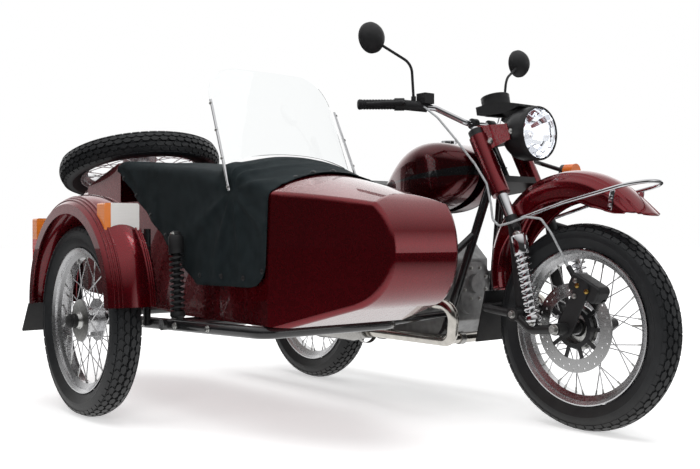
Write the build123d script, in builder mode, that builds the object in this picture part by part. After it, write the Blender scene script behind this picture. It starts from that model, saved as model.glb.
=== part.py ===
"""Motorcycle with a sidecar, standing and rolling on three wire wheels.

The pieces are drawn in the bike's own frame: x forward from the rear axle,
y left from the bike's centre plane, z up from the ground.  They are moved to
the middle of the footprint when they are written.
"""
import os
from math import atan2, cos, radians, sin, sqrt, tan

from build123d import *

# Wheels and tyres
WHEELBASE = 1500.0
TRACK = 1190.0
WHEEL_LEAD = 225.0
RIM_SEAT_R = 250.5
RIM_FLANGE_H = 9.5
RIM_W = 76.0
RIM_T = 5.0
WELL_DEPTH = 18.5
TYRE_H = 94.5
TYRE_W = 104.0
TREAD_T = 13.0
HUB_HALF = 48.0
HUB_FLANGE_R = 76.0
HUB_BODY_R = 44.0
AXLE_R = 10.0
SPOKES = 36
SPOKE_R = 2.0
SPOKE_LEAN = 42.0

# Fits and clearances
SEAT = 0.3
RUN = 0.3
AIR = 6.0

# Front brake
DISC_R = 148.0
DISC_T = 5.0
DISC_BAND = 44.0
DISC_HOLES = 20
DISC_HOLE_R = 3.5
DISC_OUT = 10.0
CALIPER_DEG = 63.0
CALIPER_L = 122.0
CALIPER_H = 60.0

# Steering head, placed from the front axle and the ground
RAKE = 28.0
HEAD_BACK = 442.0
HEAD_Z = 1004.0
HEAD_TUBE_DROP = 99.0
HEAD_TUBE_R = 28.0
HEAD_TUBE_L = 170.0
STEM_R = 18.0
FORK_OFFSET = 45.0
FORK_Y = 100.0
FORK_TUBE_R = 20.0
YOKE_T = 26.0
YOKE_END_R = 28.0
YOKE_GAP = 3.0
COVER_R = 33.0

# Leading link, placed from the front axle
LINK_BACK = 182.0
LINK_PIVOT_Z = 382.0
LINK_Y = 140.0
LINK_R = 15.0
LINK_PIN_R = 9.0
LEG_R = 22.0
KNEE_Z = 715.0
SHOCK_R = 27.0
SHOCK_TOP_BACK = 161.0
SHOCK_TOP_Z = 651.0
SHOCK_FOOT_BACK = 95.0
SHOCK_FOOT_RISE = 17.0

# Bar, lamp and mirrors, placed from the steering head
BAR_R = 11.0
BAR_BACK = 22.0
BAR_RISE = 58.0
GRIP_RISE = 124.0
GRIP_R = 17.0
BAR_END = 415.0
LAMP_R = 95.5
LAMP_AHEAD = 244.0
LAMP_RISE = 4.0
LENS_RISE = 14.0
MIRROR_Y = 400.0
MIRROR_R = 56.0
MIRROR_DEPTH = 38.0
MIRROR_RISE = 358.0
HOSE_R = 4.0

# Guards
GUARD_T = 3.0
RIB_R = 4.0
FRONT_GUARD_BACK = 37.0
FRONT_GUARD_Z = 522.0
FRONT_GUARD_GAP = 2.0
FRONT_GUARD_SKIRT = 62.0
FRONT_LIP_R = 70.0
RAIL_R = 6.5
SIDE_GUARD_RISE = 55.0
SIDE_GUARD_GAP = 52.0
SIDE_GUARD_HALF = 88.0
REAR_GUARD_RISE = 45.0
REAR_GUARD_GAP = 35.0

# Frame, engine and exhaust
FRAME_R = 16.0
RAIL_Y = 130.0
RAIL_Z = 252.0
SEAT_RAIL_Y = 112.0
BACKBONE_R = 19.0
ENGINE_GAP = 175.0
ENGINE_REAR = 640.0
ENGINE_HALF = 90.0
SWING_GAP = 55.0
SWING_Z = 372.0
CYL_Z = 430.0
CYL_END = 372.0
PORT_Y = 272.0
FIN_COUNT = 7
FIN_R = 76.0
PIPE_R = 20.0
PIPE_Z = 276.0
SILENCER_R = 45.0
SILENCER_Y = 228.0
TANK_REAR = 560.0
STAND_X = 405.0
STAND_Z = 222.0
STAND_R = 10.0
PLATE_PITCH = 146.0
PLATE_HOLE_R = 3.5

# Sidecar body
TUB_GAP = 152.0
TUB_LEFT = -420.0
TUB_WALL = 5.0
TUB_FLOOR = 366.0
COCKPIT_FRONT = 1023.0
COCKPIT_REAR = -50.0
RIM_Z = 780.0
NOSE_TAPER = 0.305
DECK_EDGE_Z = 784.0
DECK_FALL = 29.0
DECK_CROWN_R = 560.0
NOSE_TOP_X = 1310.0
NOSE_TIP_X = 1458.0
NOSE_TIP_Z = 600.0
CREASE_R = 18.0
TAIL_X = -612.0
LID_FRONT_Z = 938.0
LID_SLOPE = 15.0
LID_T = 14.0
LID_FRONT = 14.0
LID_REAR = 530.0
HINGE_R = 6.0
HINGE_PIN_R = 3.0
SPARE_AT = 274.5
SPARE_RISE = 87.0
SPARE_SHIFT = 27.0

# Cover and windscreen
COVER_T = 6.0
COVER_LAP = 8.0
SCREEN_X = 745.0
SCREEN_Z = 950.0
SCREEN_LEAN = 25.0
SCREEN_TOP = 1235.0
SCREEN_T = 4.0
SCREEN_BOW = 34.0
STRUT_R = 5.0
STRUT_DRAW = 0.05
STRUT_LOW_Z = 794.0
STRUT_TOP_Z = 1110.0

# Sidecar chassis
CHASSIS_R = 20.0
STRUT_TUBE_R = 13.0
OUTER_RAIL_IN = 115.0
INNER_RAIL_OUT = 18.0

# Worked-out positions
tyre_r = RIM_SEAT_R + TYRE_H
axle_z = tyre_r
rim_flange_r = RIM_SEAT_R + RIM_FLANGE_H
sidecar_y = -TRACK
tub_right = sidecar_y + SIDE_GUARD_HALF + TUB_GAP
tub_mid_y = (tub_right + TUB_LEFT) / 2
tub_half = (TUB_LEFT - tub_right) / 2
head_x = WHEELBASE - HEAD_BACK
lean = radians(SCREEN_LEAN)
rake = radians(RAKE)
slope = radians(LID_SLOPE)
up_axis = Vector(-sin(rake), 0, cos(rake))
fore_axis = Vector(cos(rake), 0, sin(rake))
disc_y = -HUB_HALF - DISC_OUT
lid_norm = Vector(-sin(slope), 0, cos(slope))
lid_run = Vector(-cos(slope), 0, -sin(slope))
lid_root = Vector(COCKPIT_REAR, tub_mid_y, LID_FRONT_Z)
spare_mid = lid_root + lid_run * SPARE_AT + lid_norm * SPARE_RISE - Vector(0, SPARE_SHIFT, 0)

# Middle of the footprint
tread_half = TYRE_W / 2 - 7
tread_fall = 0.16 * TYRE_H
tread_arc_r = (tread_half ** 2 + tread_fall ** 2) / (2 * tread_fall)
front_end = WHEELBASE + tyre_r
rear_end = spare_mid.X - (tyre_r - tread_arc_r) * cos(slope) - tread_arc_r
left_end = MIRROR_Y + MIRROR_R
right_end = sidecar_y - SIDE_GUARD_HALF
footprint_mid = Location((-(front_end + rear_end) / 2, -(left_end + right_end) / 2, 0))


def tube(points, radius, bend=40.0):
    """Round bar along straight runs with rounded corners."""
    with BuildPart(mode=Mode.PRIVATE) as bar:
        with BuildLine() as path:
            if len(points) == 2:
                Line(*points)
            else:
                FilletPolyline(*points, radius=bend)
        with BuildSketch(Plane(path.line ^ 0)):
            Circle(radius)
        sweep(path=path.line)
    return bar.part


def rod(start, end, radius):
    """Straight round bar between two points."""
    first = Vector(start)
    last = Vector(end)
    with BuildPart(mode=Mode.PRIVATE) as bar:
        with Locations(Plane(origin=first, z_dir=last - first)):
            Cylinder(radius, (last - first).length, align=(Align.CENTER, Align.CENTER, Align.MIN))
    return bar.part


def cross(x, z, y0, y1, radius):
    """Round bar across the machine."""
    return rod((x, y0, z), (x, y1, z), radius)


def block(x0, x1, y0, y1, z0, z1):
    """Plain box between two corners."""
    with BuildPart(mode=Mode.PRIVATE) as box:
        with Locations(((x0 + x1) / 2, (y0 + y1) / 2, (z0 + z1) / 2)):
            Box(abs(x1 - x0), abs(y1 - y0), abs(z1 - z0))
    return box.part


def slab(points, y_high, y_low):
    """Flat-sided piece from its outline seen from the side."""
    with BuildPart(mode=Mode.PRIVATE) as piece:
        with BuildSketch(Plane.XZ.offset(-y_high)):
            with BuildLine():
                Polyline(*points, close=True)
            make_face()
        extrude(amount=y_high - y_low)
    return piece.part


def guard_section(cx, cy, cz, degree):
    """Plane across a guard at an angle about its centre."""
    angle = radians(degree)
    return Plane(origin=(cx, cy, cz), x_dir=(0, 1, 0), z_dir=(sin(angle), 0, -cos(angle)))


def guard_shell(plane, axis, arc, radius, half, skirt, crown, ribs=(), hollow=True):
    """Domed guard section with pressed ribs, turned about an axis."""
    crown_r = (half ** 2 + crown ** 2) / (2 * crown)
    with BuildPart(mode=Mode.PRIVATE) as shell:
        with BuildSketch(plane):
            for inset, mode in ((0.0, Mode.ADD), (GUARD_T, Mode.SUBTRACT))[:2 if hollow else 1]:
                side = half - inset
                top = radius - inset
                foot = radius - skirt - (1.0 if inset else 0.0)
                with BuildLine():
                    Line((-side, foot), (-side, top - crown))
                    ThreePointArc((-side, top - crown), (0, top), (side, top - crown))
                    Line((side, top - crown), (side, foot))
                    Line((side, foot), (-side, foot))
                make_face(mode=mode)
                if not inset:
                    for y in ribs:
                        with Locations((y, radius - crown_r + sqrt(crown_r ** 2 - y ** 2))):
                            Circle(RIB_R)
        revolve(axis=axis, revolution_arc=arc)
    return shell.part


def guard(cx, cy, cz, radius, half, skirt, crown, rear_deg, front_deg, ribs=(), hollow=True):
    """Wheel guard turned about the cross axis from its rear to its front."""
    plane = guard_section(cx, cy, cz, rear_deg)
    axis = Axis((cx, cy, cz), (0, 1, 0))
    return guard_shell(plane, axis, rear_deg - front_deg, radius, half, skirt, crown, ribs, hollow)


# Wire wheel, drawn about the y axis at the origin and used four times
with BuildPart() as tyre_proto:
    half = TYRE_W / 2
    bead = RIM_W / 2 - RIM_T + 0.5
    seat_r = RIM_SEAT_R + SEAT
    belly_r = RIM_SEAT_R + 0.51 * TYRE_H
    shoulder_r = tyre_r - tread_fall
    cavity_r = tyre_r - 2 * TREAD_T
    with BuildSketch(Plane.YZ):
        with BuildLine():
            Line((-bead, rim_flange_r + 2), (-bead, seat_r))
            Line((-bead, seat_r), (TREAD_T - bead, seat_r))
            ThreePointArc((TREAD_T - bead, seat_r), (10 - half, belly_r), (16 - half, cavity_r))
            ThreePointArc((16 - half, cavity_r), (0, tyre_r - TREAD_T), (half - 16, cavity_r))
            ThreePointArc((half - 16, cavity_r), (half - 10, belly_r), (bead - TREAD_T, seat_r))
            Line((bead - TREAD_T, seat_r), (bead, seat_r))
            Line((bead, seat_r), (bead, rim_flange_r + 2))
            ThreePointArc((bead, rim_flange_r + 2), (half, belly_r), (tread_half, shoulder_r))
            ThreePointArc((tread_half, shoulder_r), (0, tyre_r), (-tread_half, shoulder_r))
            ThreePointArc((-tread_half, shoulder_r), (-half, belly_r), (-bead, rim_flange_r + 2))
        make_face()
    revolve(axis=Axis.Y)

with BuildPart() as wheel_proto:
    lip = RIM_W / 2
    flat = lip - 18.5
    well = RIM_SEAT_R - WELL_DEPTH
    under = RIM_SEAT_R - RIM_T
    flange = HUB_HALF - 14
    with BuildSketch(Plane.YZ):
        Polygon(
            (lip, rim_flange_r), (lip - 4, rim_flange_r), (lip - 4, RIM_SEAT_R), (flat, RIM_SEAT_R),
            (flat - 8.5, well), (8.5 - flat, well), (-flat, RIM_SEAT_R), (4 - lip, RIM_SEAT_R),
            (4 - lip, rim_flange_r), (-lip, rim_flange_r), (-lip, rim_flange_r - 4), (7 - lip, under),
            (-flat - 2.5, under), (6.5 - flat, well - RIM_T), (flat - 6.5, well - RIM_T),
            (flat + 2.5, under), (lip - 7, under), (lip, rim_flange_r - 4), align=None)
        Polygon(
            (-HUB_HALF, AXLE_R + RUN), (-HUB_HALF, 24), (-flange - 2, 32), (-flange, HUB_FLANGE_R),
            (6 - flange, HUB_FLANGE_R), (8 - flange, HUB_BODY_R), (flange - 8, HUB_BODY_R),
            (flange - 6, HUB_FLANGE_R), (flange, HUB_FLANGE_R), (flange + 2, 32), (HUB_HALF, 24),
            (HUB_HALF, AXLE_R + RUN), align=None)
    revolve(axis=Axis.Y)
    spoke_planes = []
    for i in range(SPOKES):
        side = 1 if i % 2 == 0 else -1
        turn = SPOKE_LEAN if i % 4 < 2 else -SPOKE_LEAN
        rim_a = radians(i * 360.0 / SPOKES)
        hub_a = rim_a + radians(turn)
        hub_r = HUB_FLANGE_R - 7
        start = Vector(hub_r * cos(hub_a), side * (flange - 3), hub_r * sin(hub_a))
        end = Vector((well - 2) * cos(rim_a), side * 6.0, (well - 2) * sin(rim_a))
        spoke_planes.append(Plane(origin=start, z_dir=end - start))
        spoke_length = (end - start).length
    with Locations(*spoke_planes):
        Cylinder(SPOKE_R, spoke_length, align=(Align.CENTER, Align.CENTER, Align.MIN))

front_place = Location((WHEELBASE, 0, axle_z))
rear_place = Location((0, 0, axle_z))
side_place = Location((WHEEL_LEAD, sidecar_y, axle_z))

# Drilled front brake disc on its ten-armed carrier, right of the front hub
with BuildPart() as front_disc:
    carrier_in = -HUB_HALF + 12.7
    carrier_out = disc_y - DISC_T / 2 + 0.5
    with BuildSketch(Plane.YZ):
        with Locations((disc_y, DISC_R - DISC_BAND / 2)):
            Rectangle(DISC_T, DISC_BAND)
        with Locations(((carrier_out + carrier_in) / 2, 60)):
            Rectangle(carrier_in - carrier_out, 16)
    revolve(axis=Axis.Y)
    disc_plane = Plane(origin=(0, disc_y, 0), x_dir=(1, 0, 0), z_dir=(0, -1, 0))
    arm_length = DISC_R - DISC_BAND + 5 - 65
    with Locations(disc_plane):
        with PolarLocations(65 + arm_length / 2, 10):
            Box(arm_length, 13, DISC_T)
        for ring, start_deg in ((DISC_R - 11, 0.0), (DISC_R - 24, 180.0 / DISC_HOLES)):
            with PolarLocations(ring, DISC_HOLES, start_angle=start_deg):
                Cylinder(DISC_HOLE_R, 3 * DISC_T, mode=Mode.SUBTRACT)

# Frame of the bike
head_mid = Vector(head_x + HEAD_TUBE_DROP * tan(rake), 0, HEAD_Z - HEAD_TUBE_DROP)
head_low = head_mid - up_axis * (HEAD_TUBE_L / 2)
head_top = head_mid + up_axis * (HEAD_TUBE_L / 2)
engine_front = WHEELBASE - tyre_r - ENGINE_GAP
down_top = Vector(head_low.X - 30, 20, head_low.Z + 70)
down_foot = Vector(engine_front - 25, RAIL_Y, RAIL_Z + 6)
rear_foot = Vector(380, RAIL_Y, RAIL_Z)
rear_top = Vector(350, SEAT_RAIL_Y, 760)
backbone = [(head_mid.X - 6, 0, head_mid.Z + 10), (440, 0, 800)]
seat_cross_z = 796.0


def on_line(first, last, z, side=-1):
    """Point at height z on a frame tube, on the right unless side is 1."""
    share = (first.Z - z) / (first.Z - last.Z)
    at = first + (last - first) * share
    return Vector(at.X, side * at.Y, at.Z)


with BuildPart() as main_frame:
    add(rod(head_low, head_top, HEAD_TUBE_R))
    add(tube(backbone, BACKBONE_R))
    for s in (1, -1):
        run = [(p.X, s * p.Y, p.Z) for p in (down_top, down_foot, rear_foot, rear_top)]
        add(tube(run + [(-140, s * SEAT_RAIL_Y, 716)], FRAME_R, 70.0))
    for x in (engine_front - 80, 480.0):
        add(cross(x, RAIL_Z, -RAIL_Y, RAIL_Y, 12.0))
    add(cross(440, seat_cross_z, -60, 60, BACKBONE_R - 2))
    for s in (1, -1):
        add(block(48, 76, s * 108, s * 146, 694, 728))
        add(block(STAND_X - 16, STAND_X + 16, s * 112, s * 124, STAND_Z - 16, RAIL_Z))
    add(cross(STAND_X, STAND_Z, -140, 140, STAND_R + RUN), mode=Mode.SUBTRACT)
    for s in (1, -1):
        add(rod((440, s * 50, seat_cross_z), (360, s * SEAT_RAIL_Y, 752), 14.0))
    add(rod(head_low - up_axis * 5, head_top + up_axis * 5, STEM_R + RUN), mode=Mode.SUBTRACT)

# Engine, gearbox and their fittings
swing_x = tyre_r + SWING_GAP
gearbox_rear = swing_x + 40
cyl_x = (ENGINE_REAR + engine_front) / 2 + 10
engine_floor = RAIL_Z + 12.0 + SEAT
with BuildPart() as engine_block:
    add(slab([(ENGINE_REAR, engine_floor), (engine_front - 70, engine_floor), (engine_front, 330),
              (engine_front, 560), (engine_front - 60, 618), (ENGINE_REAR + 60, 600), (ENGINE_REAR, 520)],
             ENGINE_HALF, -ENGINE_HALF))
    fillet(engine_block.edges().filter_by(Axis.Y), 14)
    with BuildSketch(Plane.YZ.offset(engine_front - 1)):
        with Locations((0, 452)):
            RectangleRounded(150, 196, 58)
    extrude(amount=23)
    with BuildSketch(Plane.YZ.offset(engine_front + 21)):
        with Locations((0, 470)):
            Circle(36)
    extrude(amount=16)
    with BuildPart(mode=Mode.PRIVATE) as gearbox:
        add(block(gearbox_rear, ENGINE_REAR + 4, -85, 85, engine_floor, 505))
        fillet(gearbox.edges().filter_by(Axis.X), 24)
    add(gearbox.part)

with BuildPart() as cylinders:
    add(cross(cyl_x, CYL_Z, -ENGINE_HALF - SEAT, -250, 52.0))
    fin_pitch = 130.0 / FIN_COUNT
    for i in range(FIN_COUNT):
        y = -ENGINE_HALF - 12 - i * fin_pitch
        add(cross(cyl_x, CYL_Z, y, y - 5, FIN_R))
    head_y = CYL_END - 67
    with Locations((cyl_x, -PORT_Y + 2, CYL_Z)):
        Box(110, 70, 110)
    for i in range(4):
        with Locations((cyl_x, -PORT_Y + 34 - i * 17, CYL_Z)):
            Box(150, 5, 150)
    with BuildSketch(Plane.XZ.offset(head_y)):
        with Locations((cyl_x, CYL_Z)):
            RectangleRounded(140, 128, 36)
    extrude(amount=CYL_END - head_y)
    fillet(cylinders.faces().sort_by(Axis.Y)[0].edges(), 14)
    mirror(about=Plane.XZ)

carb_x = cyl_x - 130
with BuildPart() as intake:
    add(block(gearbox_rear + 40, ENGINE_REAR - 4, -92, 92, 505 + SEAT, 650))
    fillet(intake.edges().filter_by(Axis.Y), 20)
    for s in (1, -1):
        add(rod((cyl_x - 75 - SEAT, s * PORT_Y, 455), (carb_x - 40, s * PORT_Y, 455), 27.0))
        add(rod((carb_x, s * PORT_Y, 400), (carb_x, s * PORT_Y, 520), 30.0))
        add(tube([(carb_x - 40, s * PORT_Y, 455), (carb_x - 120, s * PORT_Y, 470),
                  (carb_x - 135, s * 80, 572)], 25.0, 40.0))

# Exhaust
silencer_front = 660.0
with BuildPart() as exhaust_pipes:
    for s in (1, -1):
        add(tube([(cyl_x + 75 + SEAT, s * PORT_Y, 420), (engine_front + 158, s * 250, 405),
                  (engine_front + 124, s * SILENCER_Y, PIPE_Z), (silencer_front, s * SILENCER_Y, PIPE_Z)],
                 PIPE_R, 48.0))
    add(cross(engine_front + 60, PIPE_Z, 2 - SILENCER_Y, SILENCER_Y - 2, PIPE_R - 1))
    add(cylinders.part, mode=Mode.SUBTRACT)

with BuildPart() as silencers:
    for s in (1, -1):
        with BuildSketch(Plane(origin=(0, s * SILENCER_Y, PIPE_Z), x_dir=(1, 0, 0), z_dir=(0, -1, 0))):
            Polygon((silencer_front - SEAT, 0), (silencer_front - SEAT, PIPE_R + 3), (560, SILENCER_R),
                    (-150, SILENCER_R), (-230, 28), (-300, 26), (-300, 0), align=None)
        revolve(axis=Axis((0, s * SILENCER_Y, PIPE_Z), (1, 0, 0)))

# Tank, saddle and rear end
tank_front = head_x - 13
with BuildPart() as fuel_tank:
    tank_rows = (
        # share of the length, half width, floor, roof, corner
        (1.0, 62.0, 868.0, 946.0, 34.0),
        (0.835, 130.0, 778.0, 988.0, 62.0),
        (0.536, 152.0, 738.0, 1002.0, 72.0),
        (0.206, 112.0, 745.0, 938.0, 56.0),
        (0.0, 70.0, 772.0, 862.0, 34.0),
    )
    for share, half, floor, roof, corner in tank_rows:
        x = TANK_REAR + share * (tank_front - TANK_REAR)
        with BuildSketch(Plane(origin=(x, 0, (floor + roof) / 2), x_dir=(0, 1, 0), z_dir=(1, 0, 0))):
            RectangleRounded(2 * half, roof - floor, corner)
    loft()
    tunnel = BACKBONE_R + 5
    add(block(TANK_REAR - 20, tank_front + 60, -tunnel, tunnel, 700, 800), mode=Mode.SUBTRACT)
    add(tube(backbone, BACKBONE_R + 2 * SEAT), mode=Mode.SUBTRACT)
    add(slab([(head_mid.X + 90, 700), (head_mid.X + 90, head_mid.Z + 20), (440, 800), (440, 700)],
             tunnel, -tunnel), mode=Mode.SUBTRACT)

cap_x = TANK_REAR + 0.62 * (tank_front - TANK_REAR)
with BuildPart() as fuel_cap:
    add(rod((cap_x, 0, 985), (cap_x, 0, 1017), 34.0))
    fillet(fuel_cap.faces().sort_by(Axis.Z)[-1].edges(), 6)
    add(fuel_tank.part, mode=Mode.SUBTRACT)

rear_guard_r = tyre_r + REAR_GUARD_GAP
rear_guard_z = axle_z + REAR_GUARD_RISE
rear_guard_half = SEAT_RAIL_Y - FRAME_R - SEAT
seat_floor = rear_guard_z + rear_guard_r + 2
with BuildPart() as saddle:
    saddle_side = ((552, 28), (545, 86), (440, 104), (140, 108), (20, 133), (-190, 126), (-215, 78),
                   (-190, 4), (350, 0), (420, 46))
    add(slab([(x, seat_floor + rise) for x, rise in saddle_side], 135, -135))
    fillet(saddle.edges().filter_by(Axis.Y), 14)
    hollow = BACKBONE_R + SEAT
    add(block(410, 600, -hollow, hollow, 760, 842), mode=Mode.SUBTRACT)
    add(main_frame.part, mode=Mode.SUBTRACT)

with BuildPart() as rear_guard:
    add(guard(0, 0, rear_guard_z, rear_guard_r, rear_guard_half, 84, 34, 186, 22))

plate_x = -rear_guard_r - 76
with BuildPart() as rear_lamp:
    add(block(plate_x + 4, 40 - rear_guard_r, -48, 48, 540, 612))
    add(block(plate_x, plate_x + 6, -95, 95, 360, 590))
    add(cross(0, rear_guard_z, -100, 100, rear_guard_r + SEAT), mode=Mode.SUBTRACT)
    with Locations(*[Plane(origin=(plate_x, s * PLATE_PITCH / 2, 520), z_dir=(1, 0, 0)) for s in (1, -1)]):
        Cylinder(PLATE_HOLE_R, 40, mode=Mode.SUBTRACT)

# Rear suspension and drive
rear_shock_y = 132.0
rear_shock_foot = Vector(30, 0, axle_z + 117)
rear_shock_head = Vector(62, 0, 690)
arm_y = 92.0
with BuildPart() as swingarm:
    for s in (1, -1):
        add(tube([(swing_x, s * arm_y, SWING_Z), (0, s * arm_y, axle_z)], 17.0))
    add(cross(swing_x, SWING_Z, -110, 110, 19.0))
    add(cross(0, axle_z, -126, 126, AXLE_R))
    for s in (1, -1):
        add(cross(0, axle_z, s * (HUB_HALF + 2), s * arm_y, 17.5))
        add(block(18, 42, s * (arm_y - 8), s * (arm_y + 12), axle_z + 5, axle_z + 127))
        add(cross(rear_shock_foot.X, rear_shock_foot.Z, s * (arm_y - 2), s * (rear_shock_y + 14), 9.0))
    with BuildPart(mode=Mode.PRIVATE) as drive_case:
        add(cross(0, axle_z, -104, -150, 85.0))
        fillet(drive_case.edges().filter_by(GeomType.CIRCLE), 10)
    add(drive_case.part)
    add(rod((50, -122, axle_z + 29), (gearbox_rear + 20, -62, 432), 13.0))
    add(engine_block.part, mode=Mode.SUBTRACT)

with BuildPart() as rear_shocks:
    for s in (1, -1):
        low = rear_shock_foot + Vector(0, s * rear_shock_y, 0)
        high = rear_shock_head + Vector(0, s * rear_shock_y, 0)
        run = (high - low).normalized()
        add(rod(low, high, 12.0))
        for i in range(8):
            add(rod(low + run * (30 + 17 * i), low + run * (39 + 17 * i), SHOCK_R - 1))
        add(rod(high - run * 52, high - run * 8, SHOCK_R))
    add(swingarm.part, mode=Mode.SUBTRACT)

with BuildPart() as foot_controls:
    for s in (1, -1):
        outside = RAIL_Y + FRAME_R
        add(block(620, 660, s * (outside + SEAT), s * (outside + 12), RAIL_Z - 12, 372))
        add(cross(640, 358, s * (outside + 6), s * 275, 14.0))

# Fork and what turns with it
yoke_top_at = head_top + up_axis * (YOKE_GAP + YOKE_T / 2)
yoke_low_at = head_low - up_axis * (YOKE_GAP + YOKE_T / 2)
tube_top = yoke_top_at + up_axis * (YOKE_T / 2 + 4) + fore_axis * FORK_OFFSET
tube_low = Vector(tube_top.X + (tube_top.Z - KNEE_Z) * tan(rake), 0, KNEE_Z)
bar_x = head_x - BAR_BACK
bar_z = HEAD_Z + BAR_RISE
link_x = WHEELBASE - LINK_BACK
shock_y = LINK_Y + 7
shock_top = Vector(WHEELBASE - SHOCK_TOP_BACK, 0, SHOCK_TOP_Z)
shock_foot = Vector(WHEELBASE - SHOCK_FOOT_BACK, 0, axle_z + SHOCK_FOOT_RISE)


def yoke(at):
    """Flat clamp square to the steering axis."""
    with BuildPart(mode=Mode.PRIVATE) as plate:
        with BuildSketch(Plane(origin=at - up_axis * (YOKE_T / 2), x_dir=fore_axis, z_dir=up_axis)):
            with Locations((FORK_OFFSET, FORK_Y), (FORK_OFFSET, -FORK_Y)):
                Circle(YOKE_END_R)
            Circle(HEAD_TUBE_R - 3)
            make_hull()
        extrude(amount=YOKE_T)
    return plate.part


def fork_bore(radius, above=0.0):
    """Both fork tubes as solid bars."""
    with BuildPart(mode=Mode.PRIVATE) as bars:
        for s in (1, -1):
            side = Vector(0, s * FORK_Y, 0)
            add(rod(tube_low + side, tube_top + side + up_axis * above, radius))
    return bars.part


with BuildPart() as fork_yokes:
    add(yoke(yoke_top_at))
    add(yoke(yoke_low_at))
    add(rod(yoke_low_at, yoke_top_at, STEM_R))
    for s in (1, -1):
        add(rod((bar_x + 8, s * 45, yoke_top_at.Z), (bar_x, s * 45, bar_z), 14.0))
        add(cross(bar_x, bar_z, s * 33, s * 57, 20.0))
    add(fork_bore(FORK_TUBE_R + SEAT, 20), mode=Mode.SUBTRACT)
    add(cross(bar_x, bar_z, -70, 70, BAR_R + SEAT), mode=Mode.SUBTRACT)

with BuildPart() as fork_tubes:
    add(fork_bore(FORK_TUBE_R))

with BuildPart() as fork_legs:
    for s in (1, -1):
        y = s * FORK_Y
        head = tube_low + Vector(0, y, 0)
        knee = head - up_axis * 40
        add(tube([head, knee, (link_x, y, LINK_PIVOT_Z)], LEG_R, 50.0))
        add(cross(link_x, LINK_PIVOT_Z, s * (FORK_Y - 18), s * (FORK_Y + LEG_R), 27.0))
        add(tube([head - up_axis * 26, shock_top + Vector(0, s * shock_y, 16)], 12.0))
        add(cross(link_x, LINK_PIVOT_Z, s * (FORK_Y - 30), s * (FORK_Y + 30), LINK_PIN_R + SEAT),
            mode=Mode.SUBTRACT)
        add(cross(shock_top.X, shock_top.Z, s * 100, s * 170, SHOCK_R + 3), mode=Mode.SUBTRACT)

with BuildPart() as leading_link:
    loop_x = WHEELBASE - tyre_r - 23
    loop_z = LINK_PIVOT_Z + 12
    add(tube([(link_x, LINK_Y, LINK_PIVOT_Z), (loop_x, 112, loop_z), (loop_x, -112, loop_z),
              (link_x, -LINK_Y, LINK_PIVOT_Z)], LINK_R - 1, 60.0))
    for s in (1, -1):
        y = s * LINK_Y
        add(tube([(link_x, y, LINK_PIVOT_Z), (shock_foot.X - 18, y, axle_z - 11), (WHEELBASE, y, axle_z)],
                 LINK_R, 40.0))
        add(cross(link_x, LINK_PIVOT_Z, s * (FORK_Y + LEG_R + SEAT), s * (LINK_Y + 17), 24.0))
        add(cross(link_x, LINK_PIVOT_Z, s * (FORK_Y - 12), s * LINK_Y, LINK_PIN_R))
        add(cross(WHEELBASE, axle_z, s * (HUB_HALF + 2), s * (LINK_Y + 17), 2 * AXLE_R))
    add(cross(WHEELBASE, axle_z, -LINK_Y - 24, LINK_Y + 24, AXLE_R))

with BuildPart() as front_shocks:
    for s in (1, -1):
        high = shock_top + Vector(0, s * shock_y, 0)
        low = shock_foot + Vector(0, s * shock_y, 0)
        along = (low - high).normalized()
        add(rod(high, low, 11.0))
        add(rod(high - along * 6, high + along * 120, SHOCK_R))
        for i in range(8):
            at = high + along * (128 + 16.5 * i)
            add(rod(at, at + along * 9, SHOCK_R))
        add(rod(low - along * 20, low, SHOCK_R))
    add(leading_link.part, mode=Mode.SUBTRACT)
    add(fork_legs.part, mode=Mode.SUBTRACT)

ear_in = LAMP_R + 0.5
ear_side = ((42, 41), (187, 36), (204, -19), (92, -54))
with BuildPart() as fork_covers:
    for s in (1, -1):
        side = Vector(0, s * FORK_Y, 0)
        add(rod(tube_low + side + up_axis * 90, tube_top + side - up_axis * (YOKE_T + 4 + SEAT), COVER_R))
        add(slab([(head_x + x, HEAD_Z + z) for x, z in ear_side], s * ear_in + 2.5 + s * 2.5,
                 s * ear_in - 2.5 + s * 2.5))
    add(yoke(yoke_low_at), mode=Mode.SUBTRACT)
    add(yoke(yoke_top_at), mode=Mode.SUBTRACT)
    add(fork_bore(FORK_TUBE_R + SEAT), mode=Mode.SUBTRACT)

lamp_front = head_x + LAMP_AHEAD
lamp_z = HEAD_Z + LAMP_RISE
lamp_axis = Axis((0, 0, lamp_z), (1, 0, 0))
lamp_plane = Plane(origin=(lamp_front, 0, lamp_z), x_dir=(1, 0, 0), z_dir=(0, -1, 0))
with BuildPart() as headlamp_shell:
    with BuildSketch(lamp_plane):
        with BuildLine():
            Line((-130, 0), (-130, 20))
            ThreePointArc((-130, 20), (-105, 0.73 * LAMP_R), (-60, LAMP_R))
            Line((-60, LAMP_R), (0, LAMP_R))
            Line((0, LAMP_R), (0, 0))
            Line((0, 0), (-130, 0))
        make_face()
    revolve(axis=lamp_axis)


def dome(plane, axis, back, rim, radius, rise):
    """Round cap with a flat back and a domed front."""
    dome_r = (radius ** 2 + rise ** 2) / (2 * rise)
    half_way = (rim + rise - dome_r + sqrt(dome_r ** 2 - radius ** 2 / 4), radius / 2)
    with BuildPart(mode=Mode.PRIVATE) as cap:
        with BuildSketch(plane):
            with BuildLine():
                Line((back, 0), (back, radius))
                Line((back, radius), (rim, radius))
                ThreePointArc((rim, radius), half_way, (rim + rise, 0))
                Line((rim + rise, 0), (back, 0))
            make_face()
        revolve(axis=axis)
    return cap.part


with BuildPart() as headlamp_lens:
    add(dome(lamp_plane, lamp_axis, SEAT, 6.0, LAMP_R - 4, LENS_RISE))

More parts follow.
